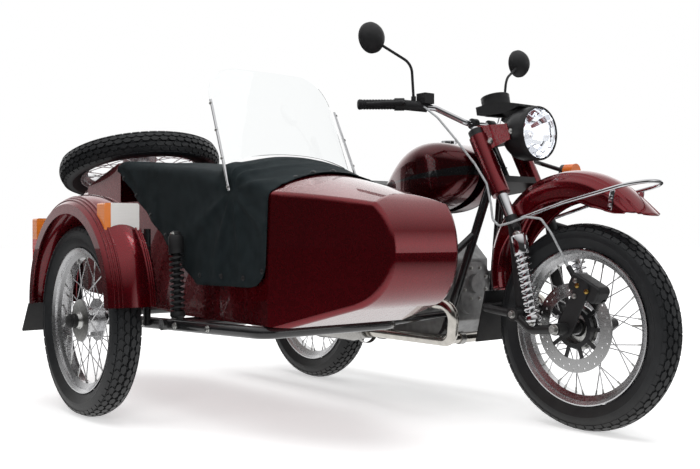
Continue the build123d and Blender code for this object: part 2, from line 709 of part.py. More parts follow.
cowl_side = ((4, 86), (-2, 116), (102, 128), (204, 108), (204, 100), (122, 76))
with BuildPart() as instruments:
    add(slab([(head_x + x, HEAD_Z + z) for x, z in cowl_side], 56, -56))
    add(rod((head_x + 54, 0, HEAD_Z + 96), (head_x + 42, 0, HEAD_Z + 152), 52.0))
    add(rod((lamp_front - 200, 0, lamp_z), (lamp_front + 40, 0, lamp_z), LAMP_R + SEAT), mode=Mode.SUBTRACT)

grip_in = Vector(head_x - 160, 292, HEAD_Z + GRIP_RISE)
grip_out = Vector(head_x - 246, BAR_END, HEAD_Z + GRIP_RISE - 2)
bar_bend = Vector(head_x - 93, 175, HEAD_Z + GRIP_RISE - 10)
bar_run = (bar_bend - grip_in).normalized()
with BuildPart() as handlebar:
    right_half = [grip_out + Vector(8, -11, 0), grip_in, bar_bend, Vector(bar_x, 80, bar_z)]
    left_half = [Vector(p.X, p.Y, p.Z) for p in reversed(right_half)]
    add(tube([Vector(p.X, -p.Y, p.Z) for p in right_half] + left_half, BAR_R, 40.0))

with BuildPart() as hand_controls:
    for s in (1, -1):
        inner = Vector(grip_in.X, s * grip_in.Y, grip_in.Z)
        outer = Vector(grip_out.X, s * grip_out.Y, grip_out.Z)
        run = (outer - inner).normalized()
        inward = Vector(bar_run.X, s * bar_run.Y, bar_run.Z)
        add(rod(inner - run * 18, inner + run * 17, GRIP_R + 6))
        add(tube([inner + Vector(18, 0, 0), inner + Vector(55, s * 20, 0), outer + Vector(48, 0, -4)], 7.0, 20.0))
        add(rod(inner + run * 17, outer, GRIP_R))
        add(rod(inner - inward * 2, inner + inward * 104, GRIP_R + 2))
    with Locations((head_x - 108, -210, HEAD_Z + 146)):
        Box(46, 46, 38)
    add(handlebar.part, mode=Mode.SUBTRACT)

with BuildPart() as mirrors:
    for s in (1, -1):
        base = grip_in + bar_run * 54 + Vector(0, 0, 12)
        base = Vector(base.X, s * base.Y, base.Z)
        head = Vector(grip_in.X - 30, s * MIRROR_Y, HEAD_Z + MIRROR_RISE)
        add(rod(base, base + Vector(0, 0, 22), 9.0))
        add(tube([base + Vector(0, 0, 15), base + Vector(2, s * 12, 140), head + Vector(8, -s * 12, -12)],
                 5.0, 60.0))
        face = Plane(origin=head, x_dir=(1, 0, 0), z_dir=(0, -1, 0))
        add(dome(face, Axis(head, (1, 0, 0)), -6.0, 5.0, MIRROR_R, MIRROR_DEPTH))
    add(hand_controls.part, mode=Mode.SUBTRACT)

front_guard_half = FORK_Y - LEG_R - SEAT
front_guard_x = WHEELBASE - FRONT_GUARD_BACK
front_guard_r = tyre_r + FRONT_GUARD_GAP
front_guard_rear = 192.0
front_guard_front = 40.0
lip_deg = 28.0
front_ribs = (-60.0, -48.0, 48.0, 60.0)
with BuildPart() as front_guard:
    lip_reach = front_guard_r + FRONT_LIP_R
    lip_a = radians(front_guard_front)
    lip_axis = Axis((front_guard_x + lip_reach * cos(lip_a), 0, FRONT_GUARD_Z + lip_reach * sin(lip_a)), (0, -1, 0))
    add(guard(front_guard_x, 0, FRONT_GUARD_Z, front_guard_r, front_guard_half, FRONT_GUARD_SKIRT, 40,
              front_guard_rear, front_guard_front, front_ribs))
    add(guard_shell(guard_section(front_guard_x, 0, FRONT_GUARD_Z, front_guard_front), lip_axis, lip_deg,
                    front_guard_r, front_guard_half, FRONT_GUARD_SKIRT - 18, 40, front_ribs))

with BuildPart() as front_rail:
    rail_y = front_guard_half + RAIL_R + SEAT
    rail_side = ((-210, 708), (-30, 757), (268, 819))
    right_rail = [Vector(WHEELBASE + x, -rail_y, z) for x, z in rail_side]
    left_rail = [Vector(p.X, rail_y, p.Z) for p in reversed(right_rail)]
    add(tube(right_rail + left_rail, RAIL_R, [200.0, 80.0, 80.0, 200.0]))
    add(fork_legs.part, mode=Mode.SUBTRACT)

with BuildPart() as front_flap:
    flap_a = radians(front_guard_rear)
    flap_x = front_guard_x + front_guard_r * cos(flap_a)
    flap_z = FRONT_GUARD_Z + front_guard_r * sin(flap_a) - SEAT
    add(slab([(flap_x - 4, flap_z), (flap_x + 3, flap_z), (flap_x - 42, 262), (flap_x - 50, 262)], 76, -76))

signal_z = HEAD_Z - 121
with BuildPart() as turn_signal:
    add(tube([(head_x + 92, 120, HEAD_Z - 69), (head_x + 102, 190, HEAD_Z - 85), (head_x + 212, 200, signal_z)],
             8.0, 20.0))
    add(rod((head_x + 197, 200, signal_z), (head_x + 254, 200, signal_z), 28.0))
    add(fork_bore(COVER_R + SEAT), mode=Mode.SUBTRACT)

caliper_a = radians(CALIPER_DEG)
caliper_out = Vector(cos(caliper_a), 0, sin(caliper_a))
caliper_along = Vector(-sin(caliper_a), 0, cos(caliper_a))
caliper_at = Vector(WHEELBASE, 0, axle_z) + caliper_out * (DISC_R + 2)
banjo_y = disc_y - 17
banjo = caliper_at + caliper_along * 101 + caliper_out * 26 + Vector(0, banjo_y, 0)
with BuildPart() as front_caliper:
    with BuildSketch(Plane(origin=caliper_at + Vector(0, disc_y + 14, 0), x_dir=caliper_along, z_dir=(0, -1, 0))):
        RectangleRounded(CALIPER_L, CALIPER_H, 18)
    extrude(amount=58)
    fillet(front_caliper.faces().sort_by(Axis.Y)[0].edges(), 8)
    add(cross(WHEELBASE, axle_z, disc_y - 8, disc_y + 8, DISC_R + AIR), mode=Mode.SUBTRACT)
    with BuildSketch(Plane(origin=(WHEELBASE, disc_y - 42, axle_z), x_dir=(1, 0, 0), z_dir=(0, -1, 0))):
        Circle(3 * AXLE_R)
        with Locations((caliper_out.X * DISC_R, caliper_out.Z * DISC_R)):
            Circle(26)
        make_hull()
        Circle(2 * AXLE_R + SEAT, mode=Mode.SUBTRACT)
    extrude(amount=8)
    add(rod(caliper_at + caliper_along * 52 + Vector(0, banjo_y, 0), banjo, 9.0))

hose_run = (
    # from the steering head: ahead, across, up
    (-104, -222, 117), (-18, -235, 66), (42, -205, -14), (102, -170, -104), (146, -158, -174), (164, -156, -244),
    (174, -158, -299), (204, -160, -322), (252, -150, -310), (302, -135, -292), (350, -115, -298),
    (386, -104, -349), (397, -80, -396),
)
with BuildPart() as brake_hose:
    add(tube([(head_x + x, y, HEAD_Z + z) for x, y, z in hose_run] + [banjo], HOSE_R, 22.0))
    add(hand_controls.part, mode=Mode.SUBTRACT)
    add(front_caliper.part, mode=Mode.SUBTRACT)

# Sidecar body
nose_lap = 60.0
nose_reach = 470.0
keel_x = 1330.0
keel_z = 432.0
floor_end = 1100.0


def sag(half):
    """Fall of the crowned deck at a distance from its middle."""
    return DECK_CROWN_R - sqrt(DECK_CROWN_R ** 2 - half ** 2)


nose_half = tub_half - NOSE_TAPER * (NOSE_TOP_X - COCKPIT_FRONT)
deck_back_z = DECK_EDGE_Z + sag(tub_half)
deck_front_z = DECK_EDGE_Z - DECK_FALL + sag(nose_half)
deck_tilt = atan2(deck_back_z - deck_front_z, NOSE_TOP_X - COCKPIT_FRONT)


def nose_solid(inset):
    """Crowned nose drawn in to a wedge, its creases rounded."""
    left = TUB_LEFT - inset
    right = tub_right + inset
    back = COCKPIT_FRONT - nose_lap
    pull = NOSE_TAPER * nose_reach
    crown_r = DECK_CROWN_R - inset
    run = Vector(cos(deck_tilt), 0, -sin(deck_tilt))
    crown_at = Vector(COCKPIT_FRONT, tub_mid_y, deck_back_z - inset)
    crown_at = crown_at - Vector(sin(deck_tilt), 0, cos(deck_tilt)) * crown_r - run * 300
    with BuildPart(mode=Mode.PRIVATE) as above:
        add(block(back - 5, back + 595, tub_mid_y - 400, tub_mid_y + 400, 600, 1000))
        with Locations(Plane(origin=crown_at, z_dir=run)):
            Cylinder(crown_r, 1200, align=(Align.CENTER, Align.CENTER, Align.MIN), mode=Mode.SUBTRACT)
    with BuildPart(mode=Mode.PRIVATE) as nose:
        with BuildSketch(Plane.XZ.offset(-left)):
            with BuildLine():
                # drawn a little above the crown, which cuts it off
                proud = 4.0 - inset
                b = Line((back, deck_back_z + nose_lap * tan(deck_tilt) + proud), (NOSE_TOP_X, deck_front_z + proud))
                c = TangentArc(b @ 1, (NOSE_TIP_X - inset, NOSE_TIP_Z), tangent=b % 1)
                d = TangentArc(c @ 1, (keel_x - inset, keel_z + inset), tangent=c % 1)
                e = Line(d @ 1, (floor_end, TUB_FLOOR + inset))
                f = Line(e @ 1, (back, TUB_FLOOR + inset))
                Line(f @ 1, b @ 0)
            make_face()
        extrude(amount=left - right)
        with BuildSketch(Plane.XY.offset(300)):
            with BuildLine():
                Polyline((back, left), (COCKPIT_FRONT, left), (COCKPIT_FRONT + nose_reach, left - pull),
                         (COCKPIT_FRONT + nose_reach, right + pull), (COCKPIT_FRONT, right), (back, right),
                         close=True)
            make_face()
        extrude(amount=700, mode=Mode.INTERSECT)
        add(above.part, mode=Mode.SUBTRACT)
        ahead = nose.edges().filter_by(lambda e: e.center().X > COCKPIT_FRONT + 60)
        creases = ahead.filter_by(lambda e: abs(e.center().Y - tub_mid_y) > 60 or e.center().Z > NOSE_TIP_Z + 100)
        fillet(creases, CREASE_R - inset)
    return nose.part


def body_solid(inset):
    """Cockpit and trunk behind the nose, tapered at the tail."""
    left = TUB_LEFT - inset
    right = tub_right + inset
    tail = TAIL_X + inset
    roof_drop = (COCKPIT_REAR - TAIL_X) * tan(slope)
    with BuildPart(mode=Mode.PRIVATE) as body:
        with BuildSketch(Plane.XZ.offset(-left)):
            with BuildLine():
                a = Line((COCKPIT_REAR, LID_FRONT_Z - inset), (COCKPIT_FRONT - inset, LID_FRONT_Z - inset))
                b = Line(a @ 1, (COCKPIT_FRONT - inset, TUB_FLOOR + inset))
                c = Line(b @ 1, (500, TUB_FLOOR + inset))
                d = Line(c @ 1, (-430, TUB_FLOOR + 50 + inset))
                e = ThreePointArc(d @ 1, (tail + 36, 520), (tail, 640))
                f = Line(e @ 1, (tail, LID_FRONT_Z - roof_drop - inset))
                Line(f @ 1, a @ 0)
            make_face()
        extrude(amount=left - right)
        with BuildSketch(Plane.XY.offset(300)):
            with BuildLine():
                Polyline((COCKPIT_FRONT + 20, left), (COCKPIT_FRONT + 20, right), (-350, right),
                         (TAIL_X - 20, right + 70), (TAIL_X - 20, left - 70), (-350, left), close=True)
            make_face()
        extrude(amount=700, mode=Mode.INTERSECT)
    return body.part


lid_plane = Plane(origin=lid_root, x_dir=lid_run, z_dir=lid_norm)
hinge_at = lid_root + lid_run * HINGE_R + lid_norm * (HINGE_R + 1)
lug_t = 18.0
knuckle_in = 120.0
knuckle_out = 170.0
lug_rows = ((knuckle_in - RUN - lug_t, knuckle_in - RUN), (knuckle_out + RUN, knuckle_out + RUN + lug_t))
with BuildPart() as sidecar_tub:
    add(body_solid(0.0))
    add(nose_solid(0.0))
    add(body_solid(TUB_WALL), mode=Mode.SUBTRACT)
    add(nose_solid(TUB_WALL), mode=Mode.SUBTRACT)
    add(block(COCKPIT_REAR, COCKPIT_REAR + TUB_WALL, tub_right + 2, TUB_LEFT - 2, TUB_FLOOR + 30, LID_FRONT_Z - 60))
    # cockpit well, open at the top
    add(block(COCKPIT_REAR + 20, COCKPIT_FRONT, tub_right - 20, TUB_LEFT + 20, RIM_Z, 1100), mode=Mode.SUBTRACT)
    # low step on the right
    step_front = COCKPIT_FRONT - 16
    add(slab([(step_front, 1000), (step_front, 515), (600, 500), (262, 735), (20, 905), (20, 1000)],
             tub_right + 20, tub_right - 20), mode=Mode.SUBTRACT)
    # trunk mouth under the lid
    with Locations(lid_plane):
        with Locations((280, 0, 0)):
            Box(440, 2 * tub_half - 130, 40, mode=Mode.SUBTRACT)
    # hinge lugs and their pins
    for s in (1, -1):
        for near, far in lug_rows:
            with Locations(lid_plane):
                with Locations((HINGE_R, s * (near + far) / 2, (HINGE_R + 1 - 3) / 2)):
                    Box(2 * HINGE_R - 1, far - near, HINGE_R + 1 + 3)
            add(rod(hinge_at + Vector(0, s * near, 0), hinge_at + Vector(0, s * far, 0), HINGE_R - 0.5))
        add(rod(hinge_at + Vector(0, s * (knuckle_in - 8), 0), hinge_at + Vector(0, s * (knuckle_out + 8), 0),
                HINGE_PIN_R))

# Fitted cover over the cockpit
cover_rows = (
    # station, height at the sides, height in the middle
    (COCKPIT_FRONT + COVER_LAP, DECK_EDGE_Z + COVER_T, deck_back_z + COVER_T),
    (SCREEN_X + 30, 890.0, 930.0),
    (SCREEN_X - 10, 868.0, 908.0),
    (COCKPIT_REAR + 24, LID_FRONT_Z + COVER_T, LID_FRONT_Z + COVER_T + 2),
    (COCKPIT_REAR + 4, LID_FRONT_Z + COVER_T, LID_FRONT_Z + COVER_T + 2),
)


def cover_solid(grow):
    """Everything under the cover's outer face, grown or drawn in."""
    right = tub_right - COVER_T - grow
    left = TUB_LEFT + COVER_T + grow
    foot = 440.0 + 2 * grow
    with BuildPart(mode=Mode.PRIVATE) as mass:
        for x, edge, crown in cover_rows:
            with BuildSketch(Plane.YZ.offset(x)):
                with BuildLine():
                    Line((right, foot), (right, edge + grow))
                    ThreePointArc((right, edge + grow), (tub_mid_y, crown + grow), (left, edge + grow))
                    Line((left, edge + grow), (left, foot))
                    Line((left, foot), (right, foot))
                make_face()
        loft(ruled=True)
    return mass.part


hem_back = COCKPIT_REAR - 10
hem_front = COCKPIT_FRONT + 20
hem_end = [(COCKPIT_FRONT, DECK_EDGE_Z - 4), (hem_front, DECK_EDGE_Z - 4), (hem_front, 300), (hem_back, 300)]
right_hem = [(hem_back, 905), (COCKPIT_REAR + 4, 905), (-8, 890), (240, 716), (590, 480), (1000, 488),
             (COCKPIT_FRONT, 512)]
left_hem = [(hem_back, 740), (COCKPIT_FRONT, 740)]
with BuildPart() as tonneau:
    add(cover_solid(0.0))
    add(cover_solid(SEAT - COVER_T), mode=Mode.SUBTRACT)
    add(slab(right_hem + hem_end, tub_right + 20, tub_right - 20), mode=Mode.SUBTRACT)
    add(slab(left_hem + hem_end, TUB_LEFT + 20, TUB_LEFT - 20), mode=Mode.SUBTRACT)

# Windscreen and its side struts
strut_mid_z = 890.0
strut_out = COVER_T + STRUT_R + SEAT
screen_in = STRUT_DRAW * (STRUT_TOP_Z - strut_mid_z) - COVER_T
screen_base_z = 850.0
screen_base_x = SCREEN_X - 6 + (SCREEN_Z - screen_base_z) * tan(lean)
screen_right = tub_right + screen_in
screen_left = TUB_LEFT - screen_in
with BuildPart() as windscreen:
    with BuildSketch(Plane.XY.offset(screen_base_z)):
        for inset, mode in ((0.0, Mode.ADD), (SCREEN_T, Mode.SUBTRACT)):
            edge_x = screen_base_x - inset
            back_x = screen_base_x - 90
            with BuildLine():
                ThreePointArc((edge_x, screen_right), (edge_x + SCREEN_BOW, tub_mid_y), (edge_x, screen_left))
                Line((edge_x, screen_left), (back_x, screen_left))
                Line((back_x, screen_left), (back_x, screen_right))
                Line((back_x, screen_right), (edge_x, screen_right))
            make_face(mode=mode)
    extrude(amount=(SCREEN_TOP - screen_base_z) / cos(lean), dir=(-sin(lean), 0, cos(lean)))
    with BuildSketch(Plane.YZ.offset(300)):
        with Locations((tub_mid_y, SCREEN_TOP - 300)):
            RectangleRounded(screen_left - screen_right + 1, 600, 120)
    extrude(amount=700, mode=Mode.INTERSECT)
    add(cover_solid(SEAT), mode=Mode.SUBTRACT)

with BuildPart() as screen_struts:
    for y, draw in ((tub_right - strut_out, STRUT_DRAW), (TUB_LEFT + strut_out, -STRUT_DRAW)):
        ends = []
        for z in (STRUT_LOW_Z, STRUT_TOP_Z):
            x = SCREEN_X + STRUT_R + SEAT + (SCREEN_Z - z) * tan(lean)
            ends.append((x, y + draw * (z - strut_mid_z), z))
        add(rod(ends[0], ends[1], STRUT_R))

# Trunk lid with the spare wheel
with BuildPart() as trunk_lid:
    with Locations(lid_plane):
        with Locations(((LID_FRONT + LID_REAR) / 2, 0, SEAT + LID_T / 2)):
            Box(LID_REAR - LID_FRONT, 2 * tub_half - 90, LID_T)
    fillet(trunk_lid.faces().sort_by(Axis(lid_root, lid_norm))[-1].edges(), 6)
    for s in (1, -1):
        near = hinge_at + Vector(0, s * knuckle_in, 0)
        far = hinge_at + Vector(0, s * knuckle_out, 0)
        add(rod(near, far, HINGE_R))
        with Locations(lid_plane):
            with Locations((HINGE_R + 8, -s * (knuckle_in + knuckle_out) / 2, HINGE_R + 1)):
                Box(16, knuckle_out - knuckle_in, HINGE_R)
        add(rod(near - Vector(0, s * 2, 0), far + Vector(0, s * 2, 0), HINGE_PIN_R + RUN), mode=Mode.SUBTRACT)

spare_place = Location(Plane(origin=spare_mid, x_dir=lid_run, z_dir=lid_run.cross(lid_norm)))
with BuildPart() as spare_carrier:
    foot = spare_mid - lid_norm * (SPARE_RISE - LID_T - 2 * SEAT)
    top = spare_mid - lid_norm * (HUB_HALF + SEAT)
    add(rod(foot, top, HUB_BODY_R))
    add(rod(top - lid_norm * 2, spare_mid + lid_norm * (HUB_HALF + 14), AXLE_R))
    add(rod(spare_mid + lid_norm * (HUB_HALF + SEAT), spare_mid + lid_norm * (HUB_HALF + 14), 22.0))

# Sidecar chassis
chassis_z = TUB_FLOOR - CHASSIS_R - SEAT
outer_rail_y = sidecar_y + OUTER_RAIL_IN
inner_rail_y = TUB_LEFT + INNER_RAIL_OUT
side_arm_y = outer_rail_y - CHASSIS_R - 20
side_guard_z = axle_z + SIDE_GUARD_RISE
side_guard_r = tyre_r + SIDE_GUARD_GAP
upright_y = sidecar_y + SIDE_GUARD_HALF + STRUT_TUBE_R + 0.5
strut_rows = (
    # joint on the frame, station of the joint on the inner rail
    (on_line(down_top, down_foot, 362), 0.0, 2.0), (on_line(rear_foot, rear_top, 350), 0.0, 2.0),
    (on_line(down_top, down_foot, 660), -128.0, 0.0), (on_line(rear_foot, rear_top, 600), -58.0, 0.0),
)
with BuildPart() as sidecar_chassis:
    add(tube([(-250, inner_rail_y, chassis_z), (1010, inner_rail_y, chassis_z), (1010, tub_right - 5, chassis_z),
              (430, outer_rail_y, chassis_z), (-130, outer_rail_y, chassis_z)], CHASSIS_R, 60.0))
    for x in (-60.0, 560.0):
        add(cross(x, chassis_z, inner_rail_y, outer_rail_y, CHASSIS_R - 0.5))
    for reach in (255.0, -330.0):
        x = WHEEL_LEAD + reach
        top = side_guard_z + sqrt((side_guard_r - 24) ** 2 - reach ** 2)
        add(rod((x, upright_y, chassis_z - 7), (x, upright_y, top), STRUT_TUBE_R))
    # wheel arm and stub axle
    with BuildSketch(Plane.XZ.offset(-side_arm_y - 12)):
        with Locations((-40, chassis_z), (WHEEL_LEAD, axle_z)):
            Circle(22)
        make_hull()
    extrude(amount=24)
    add(cross(-40, chassis_z, outer_rail_y, side_arm_y, STRUT_TUBE_R + 3))
    add(cross(WHEEL_LEAD, axle_z, side_arm_y, sidecar_y + HUB_HALF + 2, 18.0))
    add(cross(WHEEL_LEAD, axle_z, side_arm_y, sidecar_y - HUB_HALF - 10, AXLE_R))
    add(cross(WHEEL_LEAD, axle_z, sidecar_y - HUB_HALF - 2, sidecar_y - HUB_HALF - 24, 24.0))
    # struts to the bike
    for joint, back, up in strut_rows:
        add(rod(joint + Vector(0, 3, 0), (joint.X + back, inner_rail_y, chassis_z + up), STRUT_TUBE_R))
    add(main_frame.part, mode=Mode.SUBTRACT)

with BuildPart() as sidecar_shock:
    low = Vector(560, tub_right - 62, TUB_FLOOR - SEAT)
    high = Vector(545, tub_right - 62, 650)
    run = (high - low).normalized()
    add(rod(low, high, 11.0))
    for i in range(11):
        add(rod(low + run * (30 + 17 * i), low + run * (39 + 17 * i), SHOCK_R - 1))
    add(rod(high - run * 60, high, SHOCK_R))

side_ribs = (-72.0, -61.0, -50.0, 50.0, 61.0, 72.0)
side_guard_rear = 182.0
with BuildPart() as sidecar_guard:
    add(guard(WHEEL_LEAD, sidecar_y, side_guard_z, side_guard_r, SIDE_GUARD_HALF, 70, 36, side_guard_rear, 2, side_ribs))

with BuildPart() as sidecar_lamps:
    add(block(WHEEL_LEAD + 215, WHEEL_LEAD + 275, sidecar_y - 63, sidecar_y + 63, side_guard_z + 260, side_guard_z + 359))
    fillet(sidecar_lamps.edges().filter_by(Axis.X), 8)
    with BuildPart(mode=Mode.PRIVATE) as tail_lamp:
        add(block(WHEEL_LEAD - 350, WHEEL_LEAD - 305, sidecar_y - 79, sidecar_y - 21, side_guard_z + 150, side_guard_z + 315))
        fillet(tail_lamp.edges().filter_by(Axis.X), 8)
    add(tail_lamp.part)
    add(guard(WHEEL_LEAD, sidecar_y, side_guard_z, side_guard_r + SEAT, SIDE_GUARD_HALF + SEAT, side_guard_r / 2, 36,
              side_guard_rear, 2, hollow=False), mode=Mode.SUBTRACT)
    add(sidecar_guard.part, mode=Mode.SUBTRACT)

with BuildPart() as sidecar_flap:
    flap_a = radians(side_guard_rear)
    x = WHEEL_LEAD + side_guard_r * cos(flap_a)
    z = side_guard_z + side_guard_r * sin(flap_a) - SEAT
    add(slab([(x - 2, z), (x + 6, z), (x - 64, 272), (x - 74, 276)], sidecar_y + 78, sidecar_y - 78))

# Centre stand, folded up
with BuildPart() as centre_stand:
    add(cross(STAND_X, STAND_Z, -124, 124, STAND_R))
    for s in (1, -1):
        add(tube([(STAND_X, s * 92, STAND_Z), (STAND_X - 225, s * 108, STAND_Z - 8),
                  (STAND_X - 265, s * 108, STAND_Z - 2)], STAND_R + 1, 20.0))
    add(cross(STAND_X - 49, STAND_Z - 2, -94, 94, STAND_R - 2))

PIECES = {
    "front_tyre": tyre_proto.part.moved(front_place),
    "front_wheel": wheel_proto.part.moved(front_place),
    "front_disc": front_disc.part.moved(front_place),
    "rear_tyre": tyre_proto.part.moved(rear_place),
    "rear_wheel": wheel_proto.part.moved(rear_place),
    "sidecar_tyre": tyre_proto.part.moved(side_place),
    "sidecar_wheel": wheel_proto.part.moved(side_place),
    "spare_tyre": tyre_proto.part.moved(spare_place),
    "spare_wheel": wheel_proto.part.moved(spare_place),
    "main_frame": main_frame.part,
    "engine_block": engine_block.part,
    "cylinders": cylinders.part,
    "intake": intake.part,
    "exhaust_pipes": exhaust_pipes.part,
    "silencers": silencers.part,
    "fuel_tank": fuel_tank.part,
    "fuel_cap": fuel_cap.part,
    "saddle": saddle.part,
    "rear_guard": rear_guard.part,
    "rear_lamp": rear_lamp.part,
    "swingarm": swingarm.part,
    "rear_shocks": rear_shocks.part,
    "foot_controls": foot_controls.part,
    "fork_yokes": fork_yokes.part,
    "fork_tubes": fork_tubes.part,
    "fork_legs": fork_legs.part,
    "leading_link": leading_link.part,
    "front_shocks": front_shocks.part,
    "fork_covers": fork_covers.part,
    "headlamp_shell": headlamp_shell.part,
    "headlamp_lens": headlamp_lens.part,
    "instruments": instruments.part,
    "handlebar": handlebar.part,
    "hand_controls": hand_controls.part,
    "mirrors": mirrors.part,
    "front_guard": front_guard.part,
    "front_rail": front_rail.part,
    "front_flap": front_flap.part,
    "turn_signal": turn_signal.part,
    "front_caliper": front_caliper.part,
    "brake_hose": brake_hose.part,
    "sidecar_tub": sidecar_tub.part,
    "tonneau": tonneau.part,
    "windscreen": windscreen.part,
    "screen_struts": screen_struts.part,
    "trunk_lid": trunk_lid.part,
    "spare_carrier": spare_carrier.part,
    "sidecar_chassis": sidecar_chassis.part,
    "sidecar_shock": sidecar_shock.part,
    "sidecar_guard": sidecar_guard.part,
    "sidecar_lamps": sidecar_lamps.part,
    "sidecar_flap": sidecar_flap.part,
    "centre_stand": centre_stand.part,
}
os.makedirs("parts", exist_ok=True)
for name, shape in PIECES.items():
    placed = shape.moved(footprint_mid)
    placed.label = name
    export_step(placed, f"parts/{name}.step")
    box = placed.bounding_box()
    print(name, len(placed.solids()), [round(v) for v in (*box.min, *box.max)])
print("middle of the footprint", [round(v, 3) for v in footprint_mid.position])
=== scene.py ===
# %% [markdown]
# A motorcycle with a sidecar, dressed for a studio picture.
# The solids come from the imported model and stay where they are. This lesson gives each of them a finish,
# and models what they leave out: tread, spring coils, the lamp's inside, cloth, bolts and spoke nipples.
# Lengths are metres in the model's own frame. Most places are easier to read in millimetres from the rear
# axle, so a small helper turns those into the frame.

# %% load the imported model
import bmesh
import bpy
from math import atan2, cos, exp, hypot, pi, radians, sin, sqrt, tan, tau
from mathutils import Matrix, Vector


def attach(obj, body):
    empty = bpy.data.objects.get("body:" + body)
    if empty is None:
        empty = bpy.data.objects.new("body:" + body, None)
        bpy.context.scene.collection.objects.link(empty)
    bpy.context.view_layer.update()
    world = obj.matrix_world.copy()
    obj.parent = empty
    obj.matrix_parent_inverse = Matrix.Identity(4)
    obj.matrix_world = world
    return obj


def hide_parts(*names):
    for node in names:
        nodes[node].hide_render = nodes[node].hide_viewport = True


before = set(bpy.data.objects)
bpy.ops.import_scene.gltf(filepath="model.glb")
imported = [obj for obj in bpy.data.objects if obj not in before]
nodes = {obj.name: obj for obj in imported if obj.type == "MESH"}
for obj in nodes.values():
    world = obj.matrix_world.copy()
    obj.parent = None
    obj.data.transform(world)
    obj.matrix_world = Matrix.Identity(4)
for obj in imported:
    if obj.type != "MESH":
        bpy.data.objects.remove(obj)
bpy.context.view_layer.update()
scene = bpy.context.scene
AXLE_X, BIKE_Y = -0.585776, 0.411


def at(x, y, z):
    """Millimetres from the rear axle's middle to metres in the frame."""
    return Vector((x / 1000 + AXLE_X, y / 1000 + BIKE_Y, z / 1000))


# %% [markdown]
# The camera stands low in front of the sidecar. Its place, lens, turn and very small upward shift were
# solved from the outlines of the wheels, which is surer than moving it about by eye.

# %% camera
LENS_MM, SENSOR_MM = 46.98, 36.0
SHIFT_PIXELS, PICTURE_WIDTH = 2.57, 700
CAMERA_AT = at(3382, -2527, 650)
CAMERA_TURN, CAMERA_RISE = radians(141.1), radians(-0.11)
camera_data = bpy.data.cameras.new("studio_camera")
camera_data.lens = LENS_MM
camera_data.sensor_width = SENSOR_MM
camera_data.shift_y = SHIFT_PIXELS / PICTURE_WIDTH
camera_data.clip_end = 200.0
camera = bpy.data.objects.new("studio_camera", camera_data)
scene.collection.objects.link(camera)
camera.location = CAMERA_AT
look = Vector((cos(CAMERA_TURN), sin(CAMERA_TURN), tan(CAMERA_RISE)))
camera.rotation_euler = look.to_track_quat("-Z", "Y").to_euler()
scene.camera = camera
scene.view_settings.view_transform = "Standard"
print("camera at", tuple(round(v, 3) for v in camera.location))

# %% [markdown]
# Node groups hold the effects that several finishes share. Each one reads Object coordinates, or the
# cloth's own UV map, so a pattern stays on its piece when a joint moves, and gives out only masks and
# values. The shader itself stays in each material. Grain gives uneven colour, streak gives brushed metal,
# flake gives the sparkle under a clear coat, dust gathers near the ground and weave gives the threads of
# canvas.


# %% helpers for nodes
def add_node(tree, kind, inputs=None, **settings):
    """New node with its settings and input values."""
    made = tree.nodes.new(kind)
    for key, value in settings.items():
        setattr(made, key, value)
    for key, value in (inputs or {}).items():
        made.inputs[key].default_value = value
    return made


def start_group(name, inputs, outputs):
    """Empty node group with float sockets, and its two ends."""
    tree = bpy.data.node_groups.new(name, "ShaderNodeTree")
    for label, value in inputs:
        socket = tree.interface.new_socket(label, in_out="INPUT", socket_type="NodeSocketFloat")
        socket.default_value = value
    for label in outputs:
        tree.interface.new_socket(label, in_out="OUTPUT", socket_type="NodeSocketFloat")
    return tree, tree.nodes.new("NodeGroupInput"), tree.nodes.new("NodeGroupOutput")


print("node helpers ready")

# %% [markdown]
# Grain is two noises, a coarse cloud and a fine speck eleven times smaller. Real paint, metal and rubber
# are never even, and two scales are enough to show that near and far.

# %% grain
grain, ends_in, ends_out = start_group("grain", (("Scale", 40.0),), ("Cloud", "Speck"))
coords = add_node(grain, "ShaderNodeTexCoord")
cloud = add_node(grain, "ShaderNodeTexNoise", {"Detail": 3.0})
finer = add_node(grain, "ShaderNodeMath", {1: 11.0}, operation="MULTIPLY")
speck = add_node(grain, "ShaderNodeTexNoise", {"Detail": 2.0})
for tex, scale in ((cloud, ends_in.outputs["Scale"]), (speck, finer.outputs[0])):
    grain.links.new(coords.outputs["Object"], tex.inputs["Vector"])
    grain.links.new(scale, tex.inputs["Scale"])
grain.links.new(ends_in.outputs["Scale"], finer.inputs[0])
grain.links.new(cloud.outputs["Fac"], ends_out.inputs["Cloud"])
grain.links.new(speck.outputs["Fac"], ends_out.inputs["Speck"])
print("group", grain.name)

# %% [markdown]
# Streak is one noise drawn out along x, as a brush or a polishing belt leaves it.

# %% streak
streak, ends_in, ends_out = start_group("streak", (("Scale", 30.0),), ("Streak",))
coords = add_node(streak, "ShaderNodeTexCoord")
stretch = add_node(streak, "ShaderNodeMapping", {"Scale": (1.0, 14.0, 14.0)})
lines = add_node(streak, "ShaderNodeTexNoise", {"Detail": 4.0})
streak.links.new(coords.outputs["Object"], stretch.inputs["Vector"])
streak.links.new(stretch.outputs["Vector"], lines.inputs["Vector"])
streak.links.new(ends_in.outputs["Scale"], lines.inputs["Scale"])
streak.links.new(lines.outputs["Fac"], ends_out.inputs["Streak"])
print("group", streak.name)

# %% [markdown]
# Flake gives every cell of a fine Voronoi pattern its own brightness, like metal flakes that lie at all
# angles.

